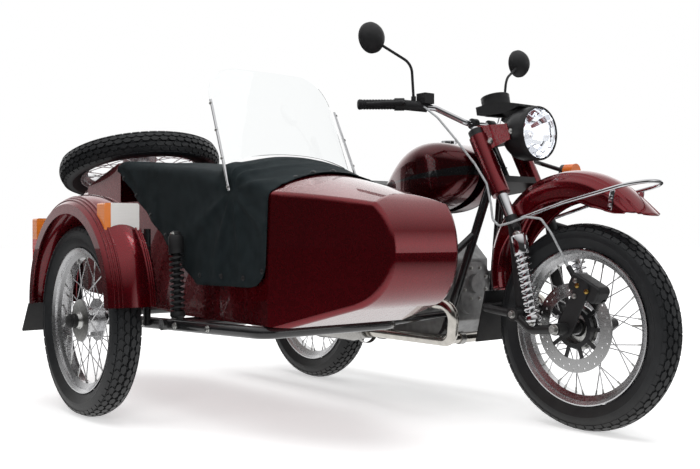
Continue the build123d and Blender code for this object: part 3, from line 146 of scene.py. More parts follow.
# %% flake
flake, ends_in, ends_out = start_group("flake", (("Scale", 900.0),), ("Flake",))
coords = add_node(flake, "ShaderNodeTexCoord")
cells = add_node(flake, "ShaderNodeTexVoronoi")
bright = add_node(flake, "ShaderNodeSeparateColor")
flake.links.new(coords.outputs["Object"], cells.inputs["Vector"])
flake.links.new(ends_in.outputs["Scale"], cells.inputs["Scale"])
flake.links.new(cells.outputs["Color"], bright.inputs["Color"])
flake.links.new(bright.outputs["Red"], ends_out.inputs["Flake"])
print("group", flake.name)

# %% [markdown]
# Dust fades with height and is broken up by noise, because the road throws it up from below in patches.

# %% dust
dust, ends_in, ends_out = start_group("dust", (("Top", 0.5),), ("Dust",))
coords = add_node(dust, "ShaderNodeTexCoord")
split = add_node(dust, "ShaderNodeSeparateXYZ")
fade = add_node(dust, "ShaderNodeMapRange", {"From Min": 0.0, "To Min": 1.0, "To Max": 0.0})
patches = add_node(dust, "ShaderNodeTexNoise", {"Scale": 14.0, "Detail": 5.0})
both = add_node(dust, "ShaderNodeMath", operation="MULTIPLY")
dust.links.new(coords.outputs["Object"], split.inputs["Vector"])
dust.links.new(coords.outputs["Object"], patches.inputs["Vector"])
dust.links.new(split.outputs["Z"], fade.inputs["Value"])
dust.links.new(ends_in.outputs["Top"], fade.inputs["From Max"])
dust.links.new(fade.outputs["Result"], both.inputs[0])
dust.links.new(patches.outputs["Fac"], both.inputs[1])
dust.links.new(both.outputs["Value"], ends_out.inputs["Dust"])
print("group", dust.name)

# %% [markdown]
# Weave crosses two waves on the cloth's UV map, so the threads follow the cloth, and adds a slow change of
# tone.

# %% weave
weave, ends_in, ends_out = start_group("weave", (("Threads", 420.0),), ("Height", "Tone"))
coords = add_node(weave, "ShaderNodeTexCoord")
ribs = []
for axis in ("X", "Y"):
    bands = add_node(weave, "ShaderNodeTexWave", {"Distortion": 0.6, "Detail": 1.0}, bands_direction=axis)
    weave.links.new(coords.outputs["UV"], bands.inputs["Vector"])
    weave.links.new(ends_in.outputs["Threads"], bands.inputs["Scale"])
    ribs.append(bands)
crossing = add_node(weave, "ShaderNodeMath", operation="MAXIMUM")
shade = add_node(weave, "ShaderNodeTexNoise", {"Scale": 26.0, "Detail": 4.0})
weave.links.new(coords.outputs["Object"], shade.inputs["Vector"])
weave.links.new(ribs[0].outputs["Fac"], crossing.inputs[0])
weave.links.new(ribs[1].outputs["Fac"], crossing.inputs[1])
weave.links.new(crossing.outputs["Value"], ends_out.inputs["Height"])
weave.links.new(shade.outputs["Fac"], ends_out.inputs["Tone"])
print("groups:", [g.name for g in bpy.data.node_groups])

# %% [markdown]
# Most finishes are the same recipe with other numbers: a colour that drifts a little, a roughness that
# drifts with it, a fine bump for castings and rubber, and dust low down. One function builds that recipe,
# so a reader can compare finishes by their numbers alone.


# %% the common recipe for a finish
def use_group(tree, name, values=None):
    """Group node in a material's tree."""
    made = tree.nodes.new("ShaderNodeGroup")
    made.node_tree = bpy.data.node_groups[name]
    for key, value in (values or {}).items():
        made.inputs[key].default_value = value
    return made


def mix_colour(tree, factor, first, second):
    """Colour mix; each colour may be a value or a socket."""
    made = add_node(tree, "ShaderNodeMix", data_type="RGBA")
    tree.links.new(factor, made.inputs["Factor"])
    for key, value in (("A", first), ("B", second)):
        socket = [s for s in made.inputs if s.name == key and s.type == "RGBA"][0]
        if isinstance(value, bpy.types.NodeSocket):
            tree.links.new(value, socket)
        else:
            socket.default_value = (*value, 1.0)
    return [s for s in made.outputs if s.type == "RGBA"][0]


def fit_range(tree, value, low, high, start=0.3, stop=0.7):
    """Value carried from start..stop to low..high."""
    made = add_node(tree, "ShaderNodeMapRange",
                    {"From Min": start, "From Max": stop, "To Min": low, "To Max": high})
    tree.links.new(value, made.inputs["Value"])
    return made.outputs["Result"]


def new_finish(name):
    """Empty material with its shader."""
    made = bpy.data.materials.new(name)
    made.use_nodes = True
    return made, made.node_tree, made.node_tree.nodes["Principled BSDF"]


def finish(name, colour, rough, metal=0.0, coat=0.0, scale=30.0, drift=0.18, bump=0.0, dirt=0.0,
           dirt_top=0.5):
    """Drifting colour and roughness, fine bump and dust near the ground."""
    made, tree, shader = new_finish(name)
    base = use_group(tree, "grain", {"Scale": scale})
    darker = tuple(v * (1 - drift) for v in colour)
    lighter = tuple(min(1.0, v * (1 + drift)) for v in colour)
    shown = mix_colour(tree, fit_range(tree, base.outputs["Cloud"], 0, 1), darker, lighter)
    if dirt:
        settled = use_group(tree, "dust", {"Top": dirt_top})
        shown = mix_colour(tree, fit_range(tree, settled.outputs["Dust"], 0, dirt, 0.1, 0.6), shown,
                           (0.16, 0.145, 0.125))
    tree.links.new(shown, shader.inputs["Base Color"])
    tree.links.new(fit_range(tree, base.outputs["Speck"], rough * 0.85, min(1.0, rough * 1.2)),
                   shader.inputs["Roughness"])
    shader.inputs["Metallic"].default_value = metal
    shader.inputs["Coat Weight"].default_value = coat
    shader.inputs["Coat Roughness"].default_value = 0.04
    if bump:
        relief = add_node(tree, "ShaderNodeBump", {"Strength": 0.5, "Distance": bump})
        tree.links.new(base.outputs["Speck"], relief.inputs["Height"])
        tree.links.new(relief.outputs["Normal"], shader.inputs["Normal"])
    return made


black_gloss = finish("black_gloss", (0.010, 0.010, 0.011), 0.22, coat=0.8, dirt=0.15, dirt_top=0.45)
black_cast = finish("black_cast", (0.014, 0.014, 0.015), 0.42, scale=60, bump=0.0004, dirt=0.2)
matt_black = finish("matt_black", (0.013, 0.013, 0.014), 0.55, scale=70, bump=0.0003)
mirror_chrome = finish("mirror_chrome", (0.78, 0.78, 0.80), 0.06, metal=1.0, drift=0.03)
pipe_chrome = finish("pipe_chrome", (0.66, 0.63, 0.58), 0.16, metal=1.0, drift=0.12)
spoke_alloy = finish("spoke_alloy", (0.78, 0.78, 0.79), 0.27, metal=1.0, drift=0.05, scale=12)
engine_cast = finish("engine_cast", (0.36, 0.36, 0.36), 0.48, metal=0.85, scale=45, bump=0.0006, dirt=0.3)
zinc = finish("zinc", (0.62, 0.62, 0.60), 0.3, metal=1.0, scale=90)
gold_pin = finish("gold_pin", (0.55, 0.36, 0.10), 0.28, metal=1.0, scale=90)
soft_rubber = finish("soft_rubber", (0.011, 0.011, 0.012), 0.62, scale=60, bump=0.0005, dirt=0.25)
tyre_rubber = finish("tyre_rubber", (0.012, 0.013, 0.0145), 0.46, scale=35, bump=0.0006, dirt=0.12,
                     dirt_top=0.25)
hose_grey = finish("hose_grey", (0.40, 0.41, 0.42), 0.38, scale=120, bump=0.0003)
lamp_black = finish("lamp_black", (0.012, 0.012, 0.013), 0.34, scale=60, bump=0.0002)
reflector = finish("reflector", (0.86, 0.87, 0.90), 0.05, metal=1.0, drift=0.02)
dial_face = finish("dial_face", (0.015, 0.015, 0.016), 0.4, scale=80)
mirror_glass = finish("mirror_glass", (0.82, 0.84, 0.86), 0.02, metal=1.0, drift=0.01)
print("finishes:", len(bpy.data.materials))

# %% [markdown]
# The burgundy is a flake paint under a clear coat. Flakes change brightness from cell to cell, the base
# under them is a very dark red, and the coat carries the sharp white reflections. The tank takes a darker
# copy of the same burgundy, which is painted shade, and has a dark grey band that tapers to the rear,
# drawn by height and length in the same material.


# %% burgundy paint and the tank's band
BAND_REAR, BAND_FRONT = 0.10, 0.46
BAND_LOW, BAND_HIGH = (0.857, 0.874), (0.860, 0.908)


def burgundy(name, red, band=False):
    """Flake paint; red is how bright its base is."""
    made, tree, shader = new_finish(name)
    sparkle = use_group(tree, "flake", {"Scale": 3600.0})
    base = use_group(tree, "grain", {"Scale": 5.0})
    deep = mix_colour(tree, fit_range(tree, base.outputs["Cloud"], 0, 1),
                      (red * 0.9, red * 0.011, red * 0.038), (red * 1.1, red * 0.014, red * 0.046))
    shown = mix_colour(tree, fit_range(tree, sparkle.outputs["Flake"], 0, 0.25, 0.3, 1.0), deep,
                       (red * 2, red * 0.03, red * 0.12))
    if band:
        coords = add_node(tree, "ShaderNodeTexCoord")
        split = add_node(tree, "ShaderNodeSeparateXYZ")
        tree.links.new(coords.outputs["Object"], split.inputs["Vector"])
        lower = fit_range(tree, split.outputs["X"], *BAND_LOW, BAND_REAR, BAND_FRONT)
        upper = fit_range(tree, split.outputs["X"], *BAND_HIGH, BAND_REAR, BAND_FRONT)
        over = add_node(tree, "ShaderNodeMath", operation="GREATER_THAN")
        under = add_node(tree, "ShaderNodeMath", operation="LESS_THAN")
        inside = add_node(tree, "ShaderNodeMath", operation="MULTIPLY")
        tree.links.new(split.outputs["Z"], over.inputs[0])
        tree.links.new(lower, over.inputs[1])
        tree.links.new(split.outputs["Z"], under.inputs[0])
        tree.links.new(upper, under.inputs[1])
        tree.links.new(over.outputs["Value"], inside.inputs[0])
        tree.links.new(under.outputs["Value"], inside.inputs[1])
        shown = mix_colour(tree, inside.outputs["Value"], shown, (0.035, 0.035, 0.038))
    tree.links.new(shown, shader.inputs["Base Color"])
    tree.links.new(fit_range(tree, base.outputs["Speck"], 0.24, 0.30), shader.inputs["Roughness"])
    shader.inputs["Metallic"].default_value = 0.9
    shader.inputs["Coat Weight"].default_value = 1.0
    shader.inputs["Coat Roughness"].default_value = 0.02
    return made


body_paint = burgundy("body_paint", 0.19)
# the tank's burgundy is a darker copy of the body's: painted shade on the tank
shaded_tank_paint = burgundy("shaded_tank_paint", 0.085, band=True)
print("paint ready")

# %% [markdown]
# Brushed metal needs a direction, so the streak group stretches its noise. The brake disc is steel on a
# black carrier: one material tells them apart by the distance from the axle.


# %% brushed steel and the brake disc
def brushed(name, colour, rough):
    made, tree, shader = new_finish(name)
    lines = use_group(tree, "streak", {"Scale": 40.0})
    dark = tuple(v * 0.8 for v in colour)
    tree.links.new(mix_colour(tree, fit_range(tree, lines.outputs["Streak"], 0, 1), dark, colour),
                   shader.inputs["Base Color"])
    tree.links.new(fit_range(tree, lines.outputs["Streak"], rough * 0.8, rough * 1.2),
                   shader.inputs["Roughness"])
    shader.inputs["Metallic"].default_value = 1.0
    return made, tree, shader


CARRIER_R, CARRIER_EDGE = 0.1035, 0.001
silencer_steel = brushed("silencer_steel", (0.50, 0.49, 0.47), 0.3)[0]
disc_steel, tree, shader = brushed("disc_steel", (0.60, 0.60, 0.60), 0.22)
coords = add_node(tree, "ShaderNodeTexCoord")
axle = add_node(tree, "ShaderNodeMapping", {"Location": -at(1500, 0, 345)})
flat = add_node(tree, "ShaderNodeMapping", {"Scale": (1.0, 0.0, 1.0)})
reach = add_node(tree, "ShaderNodeVectorMath", operation="LENGTH")
tree.links.new(coords.outputs["Object"], axle.inputs["Vector"])
tree.links.new(axle.outputs["Vector"], flat.inputs["Vector"])
tree.links.new(flat.outputs["Vector"], reach.inputs[0])
band = fit_range(tree, reach.outputs["Value"], 0, 1, CARRIER_R, CARRIER_R + CARRIER_EDGE)
steel_colour = shader.inputs["Base Color"].links[0].from_socket
tree.links.new(mix_colour(tree, band, (0.014, 0.014, 0.015), steel_colour), shader.inputs["Base Color"])
tree.links.new(band, shader.inputs["Metallic"])
print("metals ready")

# %% [markdown]
# Clear pieces keep plain transmission and no colour tricks. The windscreen and the headlamp's lens are clear;
# the other lamps are moulded in coloured plastic that is not seen through. The sidecar's front lamp is white
# with an amber outer end and its tail lamp is amber over red, so each of these materials picks its colour by
# where the point is.


# %% clear and coloured plastic
def clear(name, colour, rough, index):
    made, tree, shader = new_finish(name)
    base = use_group(tree, "grain", {"Scale": 20.0})
    tree.links.new(mix_colour(tree, base.outputs["Cloud"], tuple(v * 0.985 for v in colour), colour),
                   shader.inputs["Base Color"])
    shader.inputs["Roughness"].default_value = rough
    shader.inputs["Transmission Weight"].default_value = 1.0
    shader.inputs["IOR"].default_value = index
    return made


screen_clear = clear("screen_clear", (0.97, 0.985, 0.985), 0.0, 1.25)
lamp_clear = clear("lamp_clear", (0.98, 0.99, 1.0), 0.0, 1.3)


def lens(name, pick):
    """Moulded lens with ribs; pick builds its colour."""
    made, tree, shader = new_finish(name)
    coords = add_node(tree, "ShaderNodeTexCoord")
    split = add_node(tree, "ShaderNodeSeparateXYZ")
    tree.links.new(coords.outputs["Object"], split.inputs["Vector"])
    tree.links.new(pick(tree, split), shader.inputs["Base Color"])
    ribs = add_node(tree, "ShaderNodeTexWave", {"Scale": 60.0, "Distortion": 0.0}, bands_direction="Z")
    tree.links.new(coords.outputs["Object"], ribs.inputs["Vector"])
    relief = add_node(tree, "ShaderNodeBump", {"Strength": 0.35, "Distance": 0.001})
    tree.links.new(ribs.outputs["Fac"], relief.inputs["Height"])
    tree.links.new(relief.outputs["Normal"], shader.inputs["Normal"])
    shader.inputs["Roughness"].default_value = 0.12
    shader.inputs["Coat Weight"].default_value = 0.6
    return made


def step(tree, value, edge):
    """One above the edge and nought below it."""
    return fit_range(tree, value, 0, 1, edge - 0.0005, edge + 0.0005)


def side_lamp_colour(tree, split):
    amber_white = mix_colour(tree, step(tree, split.outputs["Y"], -0.819), (0.75, 0.20, 0.02),
                             (0.78, 0.76, 0.74))
    red_amber = mix_colour(tree, step(tree, split.outputs["Z"], 0.635), (0.50, 0.012, 0.010),
                           (0.75, 0.20, 0.02))
    return mix_colour(tree, step(tree, split.outputs["X"], -0.45), red_amber, amber_white)


def signal_colour(tree, split):
    return mix_colour(tree, step(tree, split.outputs["X"], 0.685), (0.012, 0.012, 0.013),
                      (0.78, 0.17, 0.02))


def tail_colour(tree, split):
    red = mix_colour(tree, step(tree, split.outputs["Z"], 0.5905), (0.012, 0.012, 0.013),
                     (0.45, 0.01, 0.01))
    return mix_colour(tree, step(tree, split.outputs["X"], -1.0355), (0.55, 0.55, 0.54), red)


side_lamp = lens("side_lamp", side_lamp_colour)
amber_signal = lens("amber_signal", signal_colour)
tail_lens = lens("tail_lens", tail_colour)
print("clear finishes ready")

# %% [markdown]
# Now each solid takes its finish. A table of finish and nodes is easier to check than fifty lines of code.

# %% finishes on the solids
FINISH_OF = (
    (body_paint, "fork_covers front_guard rear_guard sidecar_guard sidecar_tub trunk_lid"),
    (shaded_tank_paint, "fuel_tank"),
    (black_gloss, "main_frame swingarm sidecar_chassis spare_carrier centre_stand foot_controls"),
    (black_cast, "fork_yokes fork_legs leading_link front_caliper"),
    (matt_black, "instruments hand_controls mirrors intake sidecar_shock"),
    (lamp_black, "headlamp_shell"),
    (mirror_chrome, "front_rail fork_tubes front_shocks rear_shocks handlebar fuel_cap screen_struts"),
    (pipe_chrome, "exhaust_pipes"),
    (spoke_alloy, "front_wheel rear_wheel sidecar_wheel spare_wheel"),
    (engine_cast, "engine_block cylinders"),
    (silencer_steel, "silencers"),
    (disc_steel, "front_disc"),
    (tyre_rubber, "front_tyre rear_tyre sidecar_tyre spare_tyre"),
    (soft_rubber, "front_flap sidecar_flap saddle"),
    (hose_grey, "brake_hose"),
    (screen_clear, "windscreen"),
    (lamp_clear, "headlamp_lens"),
    (side_lamp, "sidecar_lamps"),
    (amber_signal, "turn_signal"),
    (tail_lens, "rear_lamp"),
    (soft_rubber, "tonneau"),
)
dressed = set()
for material, names in FINISH_OF:
    for name in names.split():
        mesh = nodes[name].data
        mesh.materials.clear()
        mesh.materials.append(material)
        dressed.add(name)
print("dressed", len(dressed), "nodes; left:", sorted(set(nodes) - dressed))

# %% [markdown]
# Pieces of the lesson are closed with the same few steps: merge doubles, turn the faces outwards, mark the
# sharp edges and let the piece ride on a body. Round pieces are a few points spun about an axis, which is
# how a lathe makes them.


# %% helpers for pieces
def piece(name, bm, material, body, sharp=38.0):
    """Closes a bmesh as an object that rides on a body."""
    bmesh.ops.remove_doubles(bm, verts=bm.verts, dist=1e-6)
    bmesh.ops.recalc_face_normals(bm, faces=bm.faces)
    mesh = bpy.data.meshes.new(name)
    bm.to_mesh(mesh)
    bm.free()
    for face in mesh.polygons:
        face.use_smooth = True
    mesh.set_sharp_from_angle(angle=radians(sharp))
    mesh.materials.append(material)
    made = bpy.data.objects.new(name, mesh)
    scene.collection.objects.link(made)
    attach(made, body)
    print("made", name, "with", len(mesh.polygons), "faces")
    return made


def placed(origin, z_dir, x_hint=(0.0, 1.0, 0.0)):
    """Matrix that carries the local z axis along z_dir at origin."""
    z = Vector(z_dir).normalized()
    x = Vector(x_hint)
    x = x - z * x.dot(z)
    if x.length < 1e-4:
        x = Vector((1, 0, 0)) - z * z.x
    x.normalize()
    y = z.cross(x)
    turn = Matrix((x, y, z)).transposed().to_4x4()
    return Matrix.Translation(Vector(origin)) @ turn


def lathe(bm, profile, where, steps=40):
    """Spins (radius, height) points about the local z axis."""
    verts = [bm.verts.new((r, 0.0, h)) for r, h in profile]
    edges = [bm.edges.new(pair) for pair in zip(verts, verts[1:])]
    before = set(bm.verts) - set(verts)
    bmesh.ops.spin(bm, geom=verts + edges, cent=(0, 0, 0), axis=(0, 0, 1), angle=tau, steps=steps,
                   use_merge=True)
    fresh = [v for v in bm.verts if v not in before]
    bmesh.ops.remove_doubles(bm, verts=fresh, dist=1e-6)
    fresh = [v for v in bm.verts if v not in before]
    bmesh.ops.transform(bm, matrix=where, verts=fresh)


def coil(bm, radius, wire, start, stop, turns, where, sides=8, steps=22):
    """Helical spring: a small circle spun while it climbs."""
    before = set(bm.verts)
    ring = bmesh.ops.create_circle(bm, segments=sides, radius=wire,
                                   matrix=Matrix.Translation((radius, 0, start))
                                   @ Matrix.Rotation(pi / 2, 4, "X"))["verts"]
    edges = [e for e in bm.edges if e.verts[0] in ring and e.verts[1] in ring]
    count = int(turns * steps)
    bmesh.ops.spin(bm, geom=ring + edges, cent=(0, 0, 0), axis=(0, 0, 1), angle=tau * turns, steps=count,
                   dvec=(0, 0, (stop - start) / count))
    bmesh.ops.holes_fill(bm, edges=[e for e in bm.edges if e.is_boundary])
    bmesh.ops.transform(bm, matrix=where, verts=[v for v in bm.verts if v not in before])


def bolt(bm, where, across, height):
    """Hexagon head on a washer with a softened top."""
    before = set(bm.verts)
    bmesh.ops.create_cone(bm, cap_ends=True, segments=6, radius1=across * 0.577, radius2=across * 0.577,
                          depth=height, matrix=Matrix.Translation((0, 0, height / 2 + 0.0015)))
    top = [e for e in bm.edges if all(v not in before and v.co.z > height for v in e.verts)]
    bmesh.ops.bevel(bm, geom=top, offset=height * 0.18, segments=1, profile=0.5, affect="EDGES",
                    material=-1)
    bmesh.ops.create_cone(bm, cap_ends=True, segments=16, radius1=across * 0.78, radius2=across * 0.74,
                          depth=0.002, matrix=Matrix.Translation((0, 0, 0.001)))
    bmesh.ops.transform(bm, matrix=where, verts=[v for v in bm.verts if v not in before])


def between(rows, x, column):
    """Straight-line value of a table between its stations."""
    rows = sorted(rows)
    for first, last in zip(rows, rows[1:]):
        if first[0] <= x <= last[0]:
            share = (x - first[0]) / (last[0] - first[0])
            return first[column] + share * (last[column] - first[column])
    return rows[0][column] if x < rows[0][0] else rows[-1][column]


print("helpers ready")

# %% [markdown]
# A road tyre of this kind has rows of six-sided blocks with a groove down the middle, and shoulder blocks
# that reach round to the sidewall. One pitch of the pattern is modelled at the top of the wheel and spun
# round the axle. The carcass is spun from its section a little smaller, so the blocks stand at the real
# radius.

# %% tyres with block tread
TYRE_R, TREAD_ARC = 0.345, 0.0745
SIDEWALL = ((0.0335, 0.262), (0.0400, 0.2705), (0.0465, 0.282), (0.0505, 0.292), (0.0515, 0.2945),
            (0.0522, 0.296), (0.0515, 0.2975), (0.0518, 0.303), (0.0503, 0.312), (0.0480, 0.320),
            (0.0445, 0.3265), (0.0360, 0.3315), (0.0240, 0.3355), (0.0120, 0.3378), (0.0025, 0.3385),
            (0.0018, 0.3362))
PITCHES, BLOCK_DEPTH, BLOCK_SHRINK, SHOULDER_LEAN = 58, 0.0094, (0.93, 0.90, 1.0), 0.35
BLOCK_ROWS = (
    # across, share of a pitch, half length, half width, sides
    (0.0118, 0.0, 0.0193, 0.0112, 6), (0.0312, 0.5, 0.0193, 0.0106, 6), (0.0472, 0.0, 0.0225, 0.0095, 4),
)


def tread_radius(y):
    """Radius of the outer face at a distance from the middle."""
    return TYRE_R - TREAD_ARC + sqrt(TREAD_ARC ** 2 - y ** 2)


def tyre_bmesh():
    bm = bmesh.new()
    section = [(r, -y) for y, r in SIDEWALL] + [(r, y) for y, r in reversed(SIDEWALL)]
    lathe(bm, section, placed((0, 0, 0), (0, 1, 0), (0, 0, 1)), steps=116)
    pitch = tau / PITCHES
    for side in (1, -1):
        for y, share, half_l, half_w, sides in BLOCK_ROWS:
            before = set(bm.verts)
            lean = SHOULDER_LEAN if sides == 4 else 0.0
            tilt = atan2(y, sqrt(TREAD_ARC ** 2 - y ** 2)) + lean
            made = bmesh.ops.create_circle(bm, cap_ends=True, segments=sides, radius=1.0,
                                           matrix=Matrix.Rotation(pi / 4 if sides == 4 else pi / 6, 4, "Z"))
            bmesh.ops.scale(bm, vec=(half_l, half_w, 1.0), verts=made["verts"])
            bmesh.ops.translate(bm, vec=(0, 0, -0.0095), verts=made["verts"])
            foot = [f for f in bm.faces if all(v in made["verts"] for v in f.verts)]
            raised = bmesh.ops.extrude_face_region(bm, geom=foot)
            top = [g for g in raised["geom"] if isinstance(g, bmesh.types.BMVert)]
            bmesh.ops.translate(bm, vec=(0, 0, BLOCK_DEPTH), verts=top)
            bmesh.ops.scale(bm, vec=BLOCK_SHRINK, verts=top)
            fresh = [v for v in bm.verts if v not in before]
            spot = Matrix.Translation((0, side * y, tread_radius(y) - (0.0012 if sides == 4 else 0.0)))
            around = Matrix.Rotation((share + (0.5 if side < 0 else 0.0)) * pitch, 4, "Y")
            bmesh.ops.transform(bm, matrix=around @ spot @ Matrix.Rotation(-side * tilt, 4, "X"),
                                verts=fresh)
            faces = {f for v in fresh for f in v.link_faces}
            edges = {e for v in fresh for e in v.link_edges}
            bmesh.ops.spin(bm, geom=list(fresh) + list(edges) + list(faces), cent=(0, 0, 0), axis=(0, 1, 0),
                           angle=tau * (PITCHES - 1) / PITCHES, steps=PITCHES - 1, use_duplicate=True)
    return bm


print("pitch of the tread", round(tau * TYRE_R / PITCHES, 4))

# %% [markdown]
# All four wheels carry the same tyre. Three stand upright on their axles and the spare lies on the trunk
# lid, so one function draws it about the y axis each time and a matrix carries it to its place.

# %% tyres on the four wheels
LID_TILT = radians(15)
LID_RUN = Vector((-cos(LID_TILT), 0, -sin(LID_TILT)))
LID_NORM = Vector((-sin(LID_TILT), 0, cos(LID_TILT)))
spare_mid = at(-50, -712, 938) + LID_RUN * 0.2745 + LID_NORM * 0.087
ACROSS = Vector((0, 1, 0))
WHEELS = (
    ("front", at(1500, 0, 345), ACROSS, "front_roller"),
    ("rear", at(0, 0, 345), ACROSS, "rear_roller"),
    ("sidecar", at(225, -1190, 345), ACROSS, "sidecar_roller"),
    ("spare", spare_mid, LID_NORM, "lid"),
)


def wheel_matrix(middle, axis):
    """Matrix that carries a wheel drawn about the y axis to its place."""
    y = axis.normalized()
    x = Vector((1, 0, 0)) if abs(y.z) < 0.5 else -LID_RUN
    z = x.cross(y)
    return Matrix.Translation(middle) @ Matrix((x, y, z)).transposed().to_4x4()


for label, middle, axis, body in WHEELS:
    bm = tyre_bmesh()
    bmesh.ops.transform(bm, matrix=wheel_matrix(middle, axis), verts=bm.verts)
    made = piece(label + "_block_tyre", bm, tyre_rubber, body, sharp=28.0)
    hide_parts(label + "_tyre")

# %% [markdown]
# Thirty-six spokes meet the rim in plated nipples, and the air valve stands between two of them. They are
# small, but their sparkle is what makes a wire wheel look like one. Each is a tiny lathe turning, set along
# its own spoke.

# %% spoke nipples, valves and hub flanges
SPOKES, HUB_R, RIM_R, SPOKE_SWEEP = 36, 0.069, 0.230, radians(42)
VALVE_TURN = 0.087
for label, middle, axis, body in WHEELS:
    bm = bmesh.new()
    for i in range(SPOKES):
        side = 1 if i % 2 == 0 else -1
        rim_a = i * tau / SPOKES
        hub_a = rim_a + (SPOKE_SWEEP if i % 4 < 2 else -SPOKE_SWEEP)
        foot = Vector((HUB_R * cos(hub_a), side * 0.031, HUB_R * sin(hub_a)))
        tip = Vector((RIM_R * cos(rim_a), side * 0.006, RIM_R * sin(rim_a)))
        along = (tip - foot).normalized()
        lathe(bm, ((0.0, -0.018), (0.0030, -0.018), (0.0034, -0.006), (0.0044, -0.003)), placed(tip, along),
              steps=6)
        lathe(bm, ((0.0044, -0.001), (0.0040, 0.004), (0.0, 0.005)), placed(foot, along), steps=6)
    lathe(bm, ((0.0, -0.046), (0.0035, -0.046), (0.0042, -0.030), (0.0042, -0.012), (0.0065, -0.004),
               (0.0065, 0.004)),
          placed((RIM_R * cos(VALVE_TURN), 0.0, RIM_R * sin(VALVE_TURN)),
                 (cos(VALVE_TURN), 0, sin(VALVE_TURN))), steps=10)
    for side in (1, -1):
        lathe(bm, ((0.0245, side * 0.0475), (0.0300, side * 0.0400), (0.0300, side * 0.0372),
                   (0.0700, side * 0.0352), (0.0735, side * 0.0346)),
              placed((0, 0, 0), (0, 1, 0), (0, 0, 1)), steps=40)
    bmesh.ops.transform(bm, matrix=wheel_matrix(middle, axis), verts=bm.verts)
    piece(label + "_nipples", bm, zinc, body)

# %% [markdown]
# The spring units show real coils. Each unit is a damper rod, an upper sleeve, a lower cup and a helical
# spring that is one small circle spun while it climbs. The stacked rings of the solids are hidden behind
# them.


# %% spring units
def spring_unit(bm, high, low, sleeve, radius, wire, turns, eye):
    """Damper with sleeve, cup, spring and eyes between two points."""
    length = (low - high).length
    where = placed(high, low - high)
    lathe(bm, ((0.0, 0.0), (0.010, 0.002), (0.0115, 0.01), (0.0115, length - 0.01), (0.010, length - 0.002),
               (0.0, length)),
          where, steps=20)
    lathe(bm, ((0.012, 0.0), (radius - 0.004, 0.0), (radius, 0.006), (radius, sleeve - 0.004),
               (radius - 0.003, sleeve), (radius - 0.010, sleeve), (radius - 0.010, 0.012), (0.012, 0.012),
               (0.012, 0.0)), where, steps=36)
    lathe(bm, ((0.012, length - 0.022), (radius - 0.003, length - 0.022), (radius, length - 0.017),
               (radius, length - 0.006), (radius - 0.006, length), (0.012, length),
               (0.012, length - 0.022)), where, steps=36)
    coil(bm, radius - wire - 0.0005, wire, sleeve - 0.010, length - 0.024, turns, where)
    for spot in (high, low):
        lathe(bm, ((0.0055, -0.013), (eye - 0.002, -0.013), (eye, -0.010), (eye, 0.010),
                   (eye - 0.002, 0.013), (0.0055, 0.013), (0.0055, -0.013)),
              placed(spot, (0, 1, 0), (0, 0, 1)), steps=20)


bm = bmesh.new()
for side in (1, -1):
    spring_unit(bm, at(1339, side * 147, 651), at(1405, side * 147, 362), 0.066, 0.027, 0.0046, 10.5, 0.016)
front_springs = piece("front_springs", bm, mirror_chrome, "fork")
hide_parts("front_shocks")
bm = bmesh.new()
for side in (1, -1):
    spring_unit(bm, at(62, side * 132, 690), at(30, side * 132, 462), 0.052, 0.0265, 0.0042, 9.5, 0.016)
rear_springs = piece("rear_springs", bm, mirror_chrome, "chassis")
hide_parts("rear_shocks")
bm = bmesh.new()
spring_unit(bm, at(545, -1012, 650), at(560, -1012, 366), 0.062, 0.0265, 0.0045, 11.0, 0.016)
side_spring = piece("side_spring", bm, matt_black, "chassis")
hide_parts("sidecar_shock")

# %% [markdown]
# The front guard ends in a rounded tongue that turns up a little, with two pressed ribs on each flank. Its
# section is drawn once and spun round the guard's own centre. The last rows are then pushed: the tongue's
# corners are drawn back, its skirt runs out and its tip flares. Solidify gives the sheet its thickness.

# %% front guard
GUARD_AT, GUARD_R, GUARD_HALF, GUARD_CROWN = at(1463, 0, 522), 0.3465, 0.0774, 0.040
CROWN_R = (GUARD_HALF ** 2 + GUARD_CROWN ** 2) / (2 * GUARD_CROWN)
FLANK = ((0, 0), (10, 0), (20, 0), (30, 0), (38, 0), (44, 0), (46, 2.2), (48, 3.6), (50, 2.2), (52, 0),
         (56, 0), (58, 2.2), (60, 3.6), (62, 2.2), (64, 0), (69, 0), (73, 0), (76, 0))
half_section = []
for across, rib in FLANK:
    y = across / 1000
    half_section.append((y, GUARD_R - CROWN_R + sqrt(CROWN_R ** 2 - y ** 2) + rib / 1000))
SKIRT_TOP, SKIRT = GUARD_R - 0.043, 0.020
GUARD_REAR, GUARD_SWEEP = radians(192), radians(160)
half_section += [(GUARD_HALF, SKIRT_TOP - SKIRT * k / 4) for k in range(5)]
section = [(-y, r) for y, r in reversed(half_section)] + half_section[1:]
SKIRT_RUN = ((32, 0.006), (40, 0.024), (52, 0.040), (62, 0.058), (90, 0.062), (135, 0.062), (165, 0.030),
             (192, 0.018))
bm = bmesh.new()
verts = [bm.verts.new((r, y, 0.0)) for y, r in section]
edges = [bm.edges.new(pair) for pair in zip(verts, verts[1:])]
bmesh.ops.rotate(bm, verts=verts, cent=(0, 0, 0), matrix=Matrix.Rotation(-GUARD_REAR, 3, "Y"))
bmesh.ops.spin(bm, geom=verts + edges, cent=(0, 0, 0), axis=(0, 1, 0), angle=GUARD_SWEEP, steps=80)
for v in bm.verts:
    turn = atan2(v.co.z, v.co.x) % tau
    r = hypot(v.co.x, v.co.z)
    depth = between(SKIRT_RUN, turn * 180 / pi, 1)
    if r < SKIRT_TOP:
        r = SKIRT_TOP - (SKIRT_TOP - r) * depth / SKIRT
    tip = max(0.0, (radians(50) - turn) / radians(18))
    turn += radians(7) * (abs(v.co.y) / GUARD_HALF) ** 2.5 * tip
    r += 0.012 * tip ** 2
    v.co.x = r * cos(turn)
    v.co.z = r * sin(turn)
bmesh.ops.translate(bm, vec=GUARD_AT, verts=bm.verts)
front_sheet = piece("front_guard_sheet", bm, body_paint, "fork", sharp=50.0)
